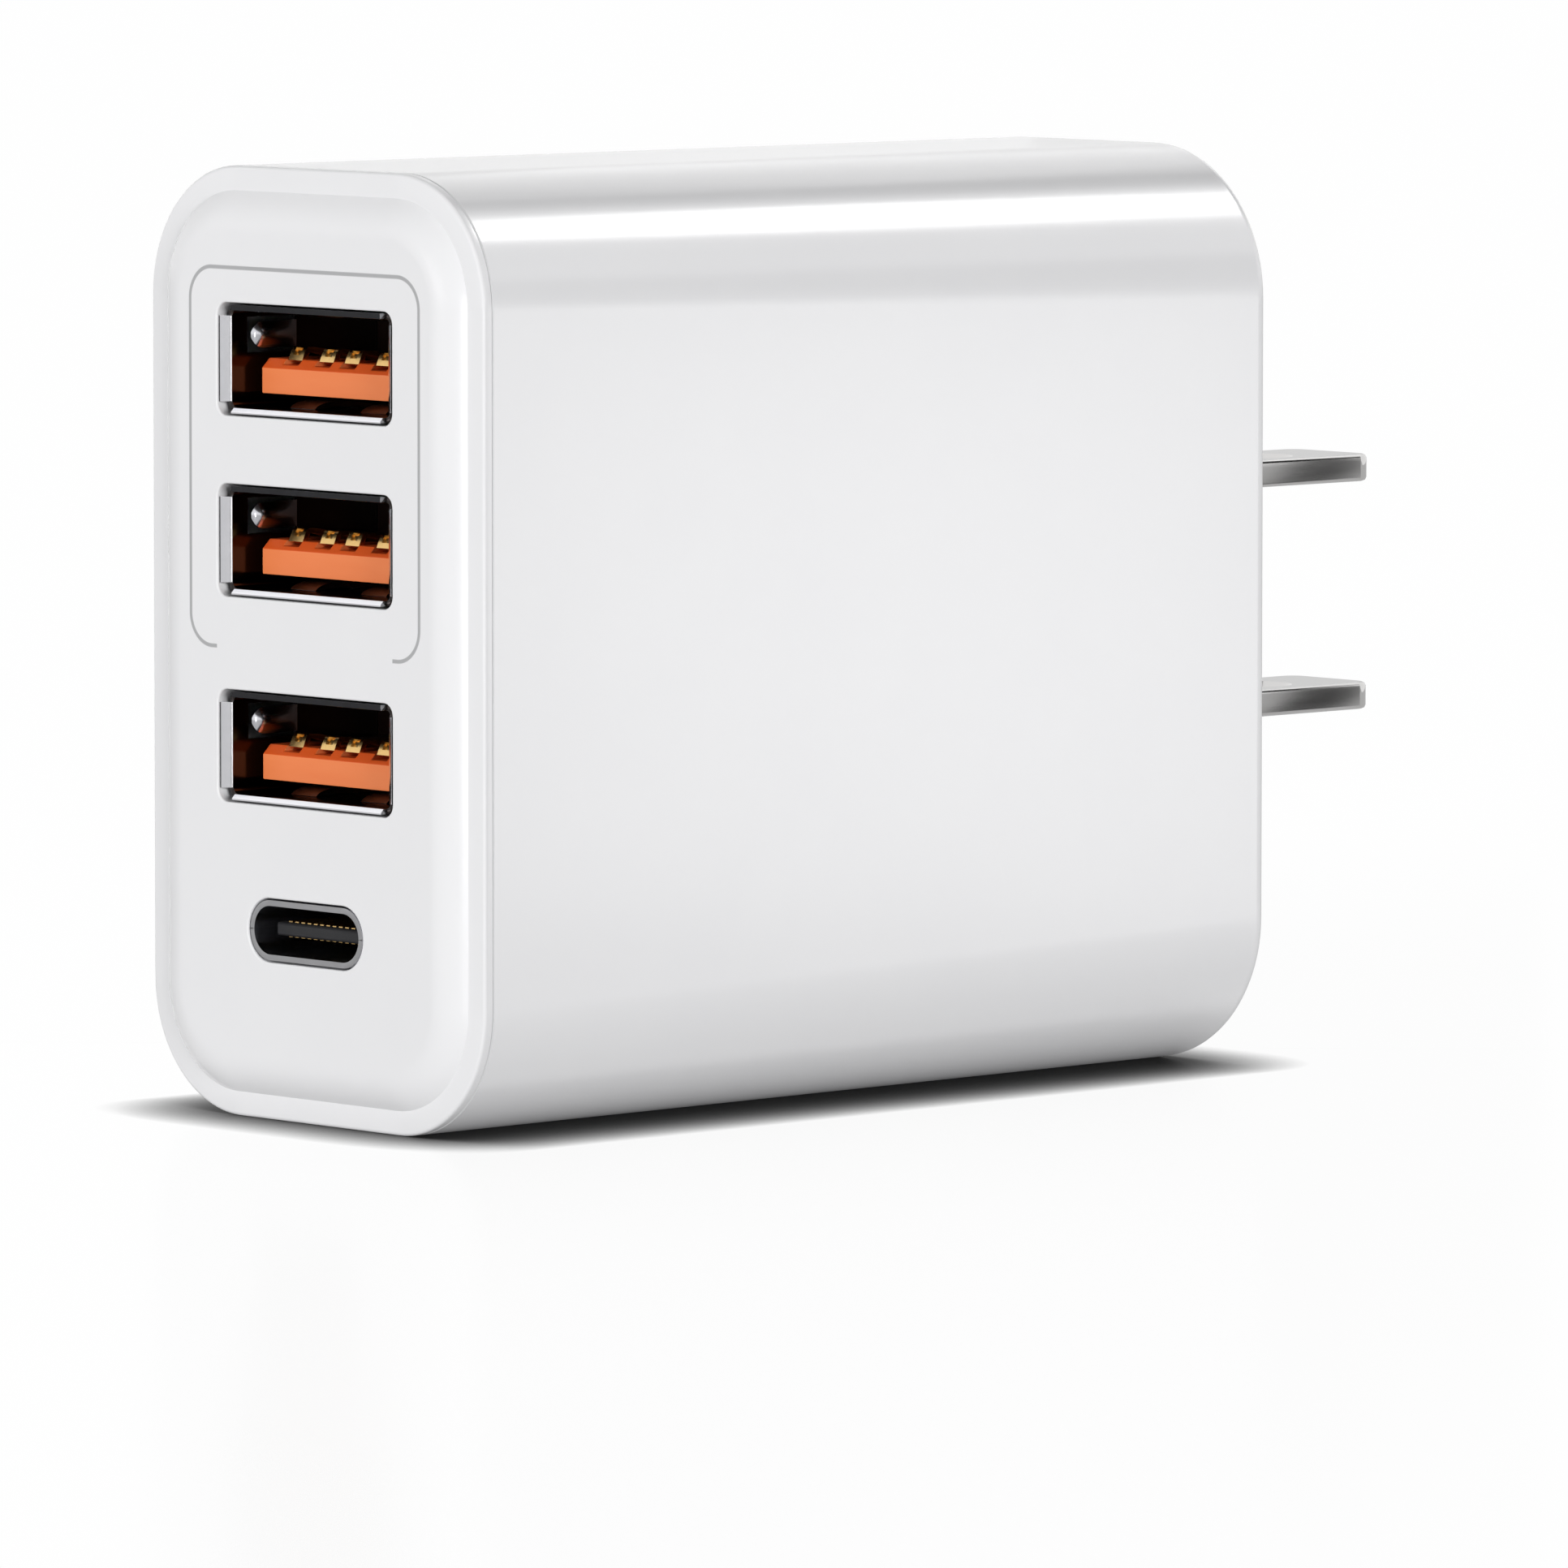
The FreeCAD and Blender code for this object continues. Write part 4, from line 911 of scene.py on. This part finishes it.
def finish(name, colour, shade, gloss, metal=0, scale=220, stretch=(1, 1, 1), grain=0.05, coat=0, shine=0.5):
    """Material from the shared surface group, with its own two tones, range of gloss and grain."""
    material, shader = new_material(name)
    tree = material.node_tree
    surface = add_group(tree, SURFACE, {"Colour": (*colour, 1), "Shade": (*shade, 1), "Stretch": stretch,
                                        "Scale": scale, "Smooth": gloss[0], "Rough": gloss[1]})
    shader.inputs["Metallic"].default_value = metal
    shader.inputs["Specular IOR Level"].default_value = shine
    shader.inputs["Coat Weight"].default_value = coat
    shader.inputs["Coat Roughness"].default_value = COAT_ROUGHNESS
    relief = tree.nodes.new("ShaderNodeBump")
    relief.inputs["Strength"].default_value = grain
    relief.inputs["Distance"].default_value = GRAIN_HEIGHT
    link(tree, surface.outputs["Height"], relief.inputs["Height"])
    link(tree, surface.outputs["Colour"], shader.inputs["Base Color"])
    link(tree, surface.outputs["Roughness"], shader.inputs["Roughness"])
    link(tree, relief.outputs["Normal"], shader.inputs["Normal"])
    return material


def print_bracket(material):
    """Thin grey line round the two upper sockets, open at the bottom, printed on the panel."""
    half_width = 9.1 * MM
    top = 19.7 * MM
    bottom = -0.2 * MM
    corner = 1.7 * MM
    line_half = 0.1 * MM
    blur = 0.03 * MM
    opening = 7.0 * MM
    skin = 0.1 * MM
    centre = (top + bottom) / 2
    half_height = (top - bottom) / 2
    tree = material.node_tree
    base = tree.nodes["Principled BSDF"].inputs["Base Color"]
    axes = object_axes(tree)
    across = calc(tree, "ABSOLUTE", axes["X"])
    height = calc(tree, "SUBTRACT", axes["Z"], centre)
    over_x = calc(tree, "SUBTRACT", across, half_width - corner)
    over_z = calc(tree, "SUBTRACT", calc(tree, "ABSOLUTE", height), half_height - corner)
    out_x = calc(tree, "MAXIMUM", over_x, 0)
    out_z = calc(tree, "MAXIMUM", over_z, 0)
    squares = calc(tree, "ADD", calc(tree, "MULTIPLY", out_x, out_x), calc(tree, "MULTIPLY", out_z, out_z))
    inside = calc(tree, "MINIMUM", calc(tree, "MAXIMUM", over_x, over_z), 0)
    distance = calc(tree, "SUBTRACT", calc(tree, "ADD", calc(tree, "SQRT", squares), inside), corner)
    line = soft_step(tree, calc(tree, "ABSOLUTE", distance), line_half + blur, line_half - blur)
    below = calc(tree, "LESS_THAN", height, 0)
    gap = calc(tree, "MULTIPLY", below, calc(tree, "LESS_THAN", across, opening))
    drawn = calc(tree, "MULTIPLY", line, calc(tree, "SUBTRACT", 1, gap))
    on_panel = calc(tree, "LESS_THAN", axes["Y"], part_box("front_cover")[0].y + skin)
    ink = calc(tree, "MULTIPLY", drawn, on_panel)
    plain = base.links[0].from_socket
    link(tree, mix_colour(tree, ink, plain, INK_GREY), base)


SURFACE = surface_group()
PAINTED_DEPTH_SHADE = painted_depth_shade_group()
FINISHES = {
    "white_shell": finish("satin_white_plastic", (0.87, 0.87, 0.88), (0.845, 0.845, 0.86), (0.26, 0.36),
                          scale=160, coat=0.7),
    "blade_nickel": finish("bright_nickel", (0.72, 0.71, 0.70), (0.63, 0.625, 0.62), (0.06, 0.12), metal=1,
                           scale=260, stretch=(1, 0.06, 1), grain=0.03),
    "socket_steel": finish("tinned_steel", (0.74, 0.74, 0.77), (0.62, 0.62, 0.66), (0.12, 0.24), metal=1,
                           scale=420, stretch=(1, 0.1, 1)),
    "orange_insulator": finish("orange_insulator", (0.95, 0.275, 0.095), (0.90, 0.225, 0.07), (0.35, 0.5),
                               scale=500, stretch=(0.4, 1, 2.5), grain=0.1),
    "black_insulator": finish("black_insulator", (0.02, 0.02, 0.022), (0.035, 0.035, 0.037), (0.4, 0.55),
                              shine=0.2),
    "gilt_contact": finish("gilt_contact", (0.90, 0.62, 0.26), (0.80, 0.50, 0.18), (0.14, 0.26), metal=1,
                           scale=600),
    "carrier_plastic": finish("carrier_plastic", (0.80, 0.80, 0.78), (0.74, 0.74, 0.71), (0.45, 0.6)),
    "spring_brass": finish("spring_brass", (0.80, 0.62, 0.32), (0.70, 0.50, 0.24), (0.2, 0.35), metal=1),
    "board_laminate": finish("green_laminate", (0.03, 0.16, 0.07), (0.05, 0.23, 0.10), (0.3, 0.45),
                             scale=600),
    "film": finish("polyester_film", (0.78, 0.74, 0.52), (0.70, 0.66, 0.45), (0.25, 0.4)),
    "chip_epoxy": finish("chip_epoxy", (0.025, 0.025, 0.026), (0.04, 0.04, 0.042), (0.5, 0.7), scale=900),
    "ferrite": finish("grey_ferrite", (0.06, 0.06, 0.065), (0.10, 0.10, 0.105), (0.55, 0.75), scale=900),
    "bobbin_plastic": finish("bobbin_plastic", (0.04, 0.04, 0.042), (0.06, 0.06, 0.062), (0.4, 0.55)),
    "winding_tape": finish("yellow_tape", (0.80, 0.60, 0.08), (0.70, 0.50, 0.06), (0.25, 0.4),
                           stretch=(1, 1, 6)),
    "magnet_wire": finish("enamelled_wire", (0.72, 0.28, 0.12), (0.50, 0.16, 0.06), (0.2, 0.35), metal=1,
                          scale=900, stretch=(6, 1, 1)),
    "capacitor_sleeve": finish("dark_sleeve", (0.03, 0.03, 0.05), (0.05, 0.05, 0.075), (0.3, 0.45)),
    "capacitor_can": finish("aluminium_can", (0.78, 0.78, 0.80), (0.68, 0.68, 0.71), (0.25, 0.4), metal=1),
    "disc_ceramic": finish("blue_ceramic", (0.05, 0.20, 0.55), (0.08, 0.28, 0.62), (0.35, 0.5)),
}
cover_white = FINISHES["white_shell"].copy()
cover_white.name = "printed_white_plastic"
print_bracket(cover_white)
bright_steel = finish("bright_tinned_steel", (0.93, 0.93, 0.96), (0.86, 0.86, 0.90), (0.1, 0.2), metal=1,
                      scale=420, stretch=(1, 0.1, 1))
# Painted shade: a darker orange for the tongue's upward faces, standing in for the shade on its top and
# chamfer.
plain_deep_orange = finish("plain_deep_orange", (0.84, 0.125, 0.02), (0.78, 0.10, 0.014), (0.4, 0.55),
                           scale=500, stretch=(0.4, 1, 2.5), grain=0.1)
# Darker grey steel edge: partly a duller brushed finish, partly painted shade for the shaded wall of the
# cover's opening.
grey_edge_steel_painted_shade = finish("brushed_steel_edge", (0.42, 0.42, 0.43), (0.34, 0.34, 0.35), (0.35, 0.5), metal=0.7,
                         scale=900)
# Painted shade: near-black steel for the wide shell's front edges, standing in for the shade on its lips.
painted_shade_edge_steel = finish("sheared_steel_edge", (0.03, 0.03, 0.033), (0.015, 0.015, 0.017), (0.5, 0.7),
                        metal=0.3, scale=900, shine=0.2)
# Painted shade with depth: the socket steel turns near black just behind the mouth, and the orange insulator
# darkens further in.
wide_socket_steel_painted_shade = painted_shade_inside(bright_steel, "tinned_steel_dark_inside", (0.05, 0.042, 0.04),
                                  start=0.2 * MM, end=0.4 * MM)
wide_socket_orange_painted_shade = painted_shade_inside(FINISHES["orange_insulator"], "orange_insulator_dark_inside",
                                   (0.05, 0.012, 0.004), start=2.6 * MM, end=5.5 * MM)
# The same darker orange, with painted shade with depth as well.
tops_and_depth_painted_shade_orange = painted_shade_inside(plain_deep_orange, "deep_orange_insulator", (0.04, 0.008, 0.002),
                            start=2.8 * MM, end=5.5 * MM)


def dress(piece, slot, nodes, material=None):
    """Give a new piece its finish, unless it is painted, and let it stand for its CAD nodes."""
    if not piece.data.materials:
        piece.data.materials.append(material or FINISHES[slot])
    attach(piece, "root")
    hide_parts(*nodes)


for part in frame["record"]["subparts"]:
    solid = frame["nodes"][part["node"]]
    solid.data.materials.clear()
    solid.data.materials.append(FINISHES[part["material_slot"]])

dress(main_housing(), "white_shell", ["main_housing"])
dress(front_cover(), "white_shell", ["front_cover"], cover_white)
dress(blade("upper_blade_nickel", "upper_blade"), "blade_nickel", ["upper_blade"])
dress(blade("lower_blade_nickel", "lower_blade"), "blade_nickel", ["lower_blade"])
wide_levels = {number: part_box(f"usb_a_shell_{number}")[0].z for number in WIDE_SOCKETS}
for make, node, slot in ((wide_shell, "usb_a_shell", "socket_steel"),
                         (wide_tongue, "usb_a_tongue", "orange_insulator"),
                         (wide_contacts, "usb_a_contacts", "gilt_contact")):
    first = make()
    for number in WIDE_SOCKETS[1:]:
        drop = wide_levels[number] - wide_levels[1]
        twin = copy_of(first, first.name.replace("_1_", f"_{number}_"), (0, 0, drop))
        dress(twin, slot, [f"{node}_{number}"])
    dress(first, slot, [f"{node}_1"])
dress(small_shell(), "socket_steel", ["usb_c_shell"])
dress(small_tongue(), "black_insulator", ["usb_c_tongue"])
dress(small_contacts(), "gilt_contact", ["usb_c_contacts"])


# Studio

TURN = math.radians(47.58)
TILT = math.radians(4.37)
CENTRE = Vector((0, -28.35 * MM, 0))
TOWARDS_CAMERA = Vector((math.sin(TURN) * math.cos(TILT), -math.cos(TURN) * math.cos(TILT), math.sin(TILT)))
CAMERA_DISTANCE = 0.7317
LENS = 313.94
SENSOR = 36
SHIFT_ACROSS = 0.0421
SHIFT_UP = -0.1041

FLOOR_SIZE = 16
FLOOR_GLOW = 1.018
FLOOR_BOUNCE = 0.24
FLOOR_FILL = 0.2
FLOOR_MIRRORED = 0.55
FLOOR_ROUGHNESS = 0.6
FLOOR_SHEEN = 0.1
SHEEN_ROUGHNESS = 0.2
SHADOW_REACH = 5 * MM
SHADOW_POWER = 3
SHADOW_SAMPLES = 16
WORLD_FILL = 0.07
WHITE = (1, 1, 1, 1)
BLACK = (0, 0, 0, 1)


def seen_directly(tree):
    """Mask that is 1 for camera, glossy and transmission rays."""
    path = tree.nodes.new("ShaderNodeLightPath")
    mask = calc(tree, "MAXIMUM", path.outputs["Is Camera Ray"], path.outputs["Is Glossy Ray"])
    return calc(tree, "MAXIMUM", mask, path.outputs["Is Transmission Ray"])


def floor():
    """Pale floor: white to the eye up to the contact shadow, greyer in reflections, with a faint sheen."""
    deselect()
    bpy.ops.mesh.primitive_plane_add(size=FLOOR_SIZE, location=(0, 0, cad_box[0].z))
    piece = named("floor")
    material, shader = new_material("pale_floor")
    tree = material.node_tree
    bare = calc(tree, "MULTIPLY_ADD", seen_directly(tree), -FLOOR_BOUNCE, FLOOR_BOUNCE)
    link(tree, bare, shader.inputs["Base Color"])
    shader.inputs["Roughness"].default_value = FLOOR_ROUGHNESS
    shader.inputs["Specular IOR Level"].default_value = 0
    shader.inputs["Emission Color"].default_value = WHITE
    contact = tree.nodes.new("ShaderNodeAmbientOcclusion")
    contact.samples = SHADOW_SAMPLES
    contact.inputs["Distance"].default_value = SHADOW_REACH
    shade = calc(tree, "POWER", contact.outputs["AO"], SHADOW_POWER)
    path = tree.nodes.new("ShaderNodeLightPath")
    mirrored = calc(tree, "MULTIPLY", path.outputs["Is Glossy Ray"], FLOOR_MIRRORED)
    seen = calc(tree, "MULTIPLY_ADD", path.outputs["Is Camera Ray"], FLOOR_GLOW, mirrored)
    fill = calc(tree, "MULTIPLY", path.outputs["Is Diffuse Ray"], FLOOR_FILL)
    glow = calc(tree, "MULTIPLY_ADD", shade, seen, fill)
    link(tree, glow, shader.inputs["Emission Strength"])
    sheen = tree.nodes.new("ShaderNodeBsdfGlossy")
    sheen.inputs["Roughness"].default_value = SHEEN_ROUGHNESS
    blend = tree.nodes.new("ShaderNodeMixShader")
    blend.inputs["Fac"].default_value = FLOOR_SHEEN
    link(tree, shader.outputs["BSDF"], blend.inputs[1])
    link(tree, sheen.outputs["BSDF"], blend.inputs[2])
    link(tree, blend.outputs["Shader"], tree.nodes["Material Output"].inputs["Surface"])
    piece.data.materials.append(material)


def world():
    """White where it is seen, a faint fill for the rest."""
    made = bpy.data.worlds.new("studio")
    bpy.context.scene.world = made
    made.use_nodes = True
    tree = made.node_tree
    background = tree.nodes["Background"]
    background.inputs["Color"].default_value = WHITE
    strength = calc(tree, "MULTIPLY_ADD", seen_directly(tree), 1 - WORLD_FILL, WORLD_FILL)
    link(tree, strength, background.inputs["Strength"])


def softbox(name, direction, distance, width, height, power, mirrored=False):
    """Lamp that faces the part's centre, and shows in reflections only if asked."""
    data = bpy.data.lights.new(name, "AREA")
    data.shape = "RECTANGLE"
    data.size = width
    data.size_y = height
    data.energy = power
    lamp = bpy.data.objects.new(name, data)
    bpy.context.scene.collection.objects.link(lamp)
    direction = Vector(direction).normalized()
    lamp.location = CENTRE + direction * distance
    lamp.rotation_euler = direction.to_track_quat("Z", "Y").to_euler()
    lamp.visible_glossy = mirrored


def card(name, centre, facing, width, height, tone):
    """Studio card that only reflections see."""
    deselect()
    turned = Vector(facing).to_track_quat("Z", "Y").to_euler()
    bpy.ops.mesh.primitive_plane_add(size=1, location=centre, rotation=turned)
    piece = named(name)
    piece.scale = (width, height, 1)
    settle(piece)
    piece.visible_camera = False
    piece.visible_diffuse = False
    piece.visible_shadow = False
    material, shader = new_material(name)
    shader.inputs["Base Color"].default_value = BLACK
    shader.inputs["Specular IOR Level"].default_value = 0
    shader.inputs["Emission Color"].default_value = (tone, tone, tone, 1)
    shader.inputs["Emission Strength"].default_value = 1
    piece.data.materials.append(material)


def camera():
    """Long lens, a little above and to the right of the sockets."""
    data = bpy.data.cameras.new("camera")
    view = bpy.data.objects.new("camera", data)
    bpy.context.scene.collection.objects.link(view)
    data.lens = LENS
    data.sensor_width = SENSOR
    data.shift_x = SHIFT_ACROSS
    data.shift_y = SHIFT_UP
    view.location = CENTRE + TOWARDS_CAMERA * CAMERA_DISTANCE
    view.rotation_euler = TOWARDS_CAMERA.to_track_quat("Z", "Y").to_euler()
    bpy.context.scene.camera = view


floor()
world()

# Lamps: name, direction from the centre, then distance, width, height in metres and power in watts
softbox("side_light", (0.96, -0.27, 0.05), 1.3, 0.6, 0.6, 16)
softbox("front_light", (-0.3, -0.93, 0.1), 1.3, 0.5, 0.3, 10.4)
softbox("rounding_strip", (0.235, 0.68, 0.695), 1.0, 0.3, 0.16, 1.75, mirrored=True)
softbox("back_fill", (-0.7, 0.65, 0.25), 1.3, 0.6, 0.6, 15)

# Cards: name, centre, the way it faces, then width and height in metres and tone
card("blade_side_card", (0.0723, 0.0832, -0.005), (-0.74, -0.67, 0), 0.005, 0.06, 0.02)
card("blade_top_card", (-0.104, 0.118, 0.01), (0.7, -0.7, 0), 0.034, 0.05, 0.7)
card("side_bright_card", (0.0865, 0.0389, -0.0048), (-0.73, -0.68, 0), 0.056, 0.0404, 2.6)
card("shoulder_card", (0.093, -0.183, -0.005), (-0.54, 0.84, 0), 0.02, 0.075, 6)
card("upper_dark_card", (-0.023, 0.177, 0.218), (0.08, -0.68, -0.73), 0.05, 0.3, 0)
card("lower_dark_card", (0.097, 0.054, 0.039), (-0.73, -0.68, -0.1), 0.09, 0.036, 0)
card("top_edge_card", (-0.068, 0.074, 0.103), (0.51, -0.68, -0.525), 0.08, 0.08, 1.5)
camera()
bpy.context.scene.view_settings.view_transform = "Standard"
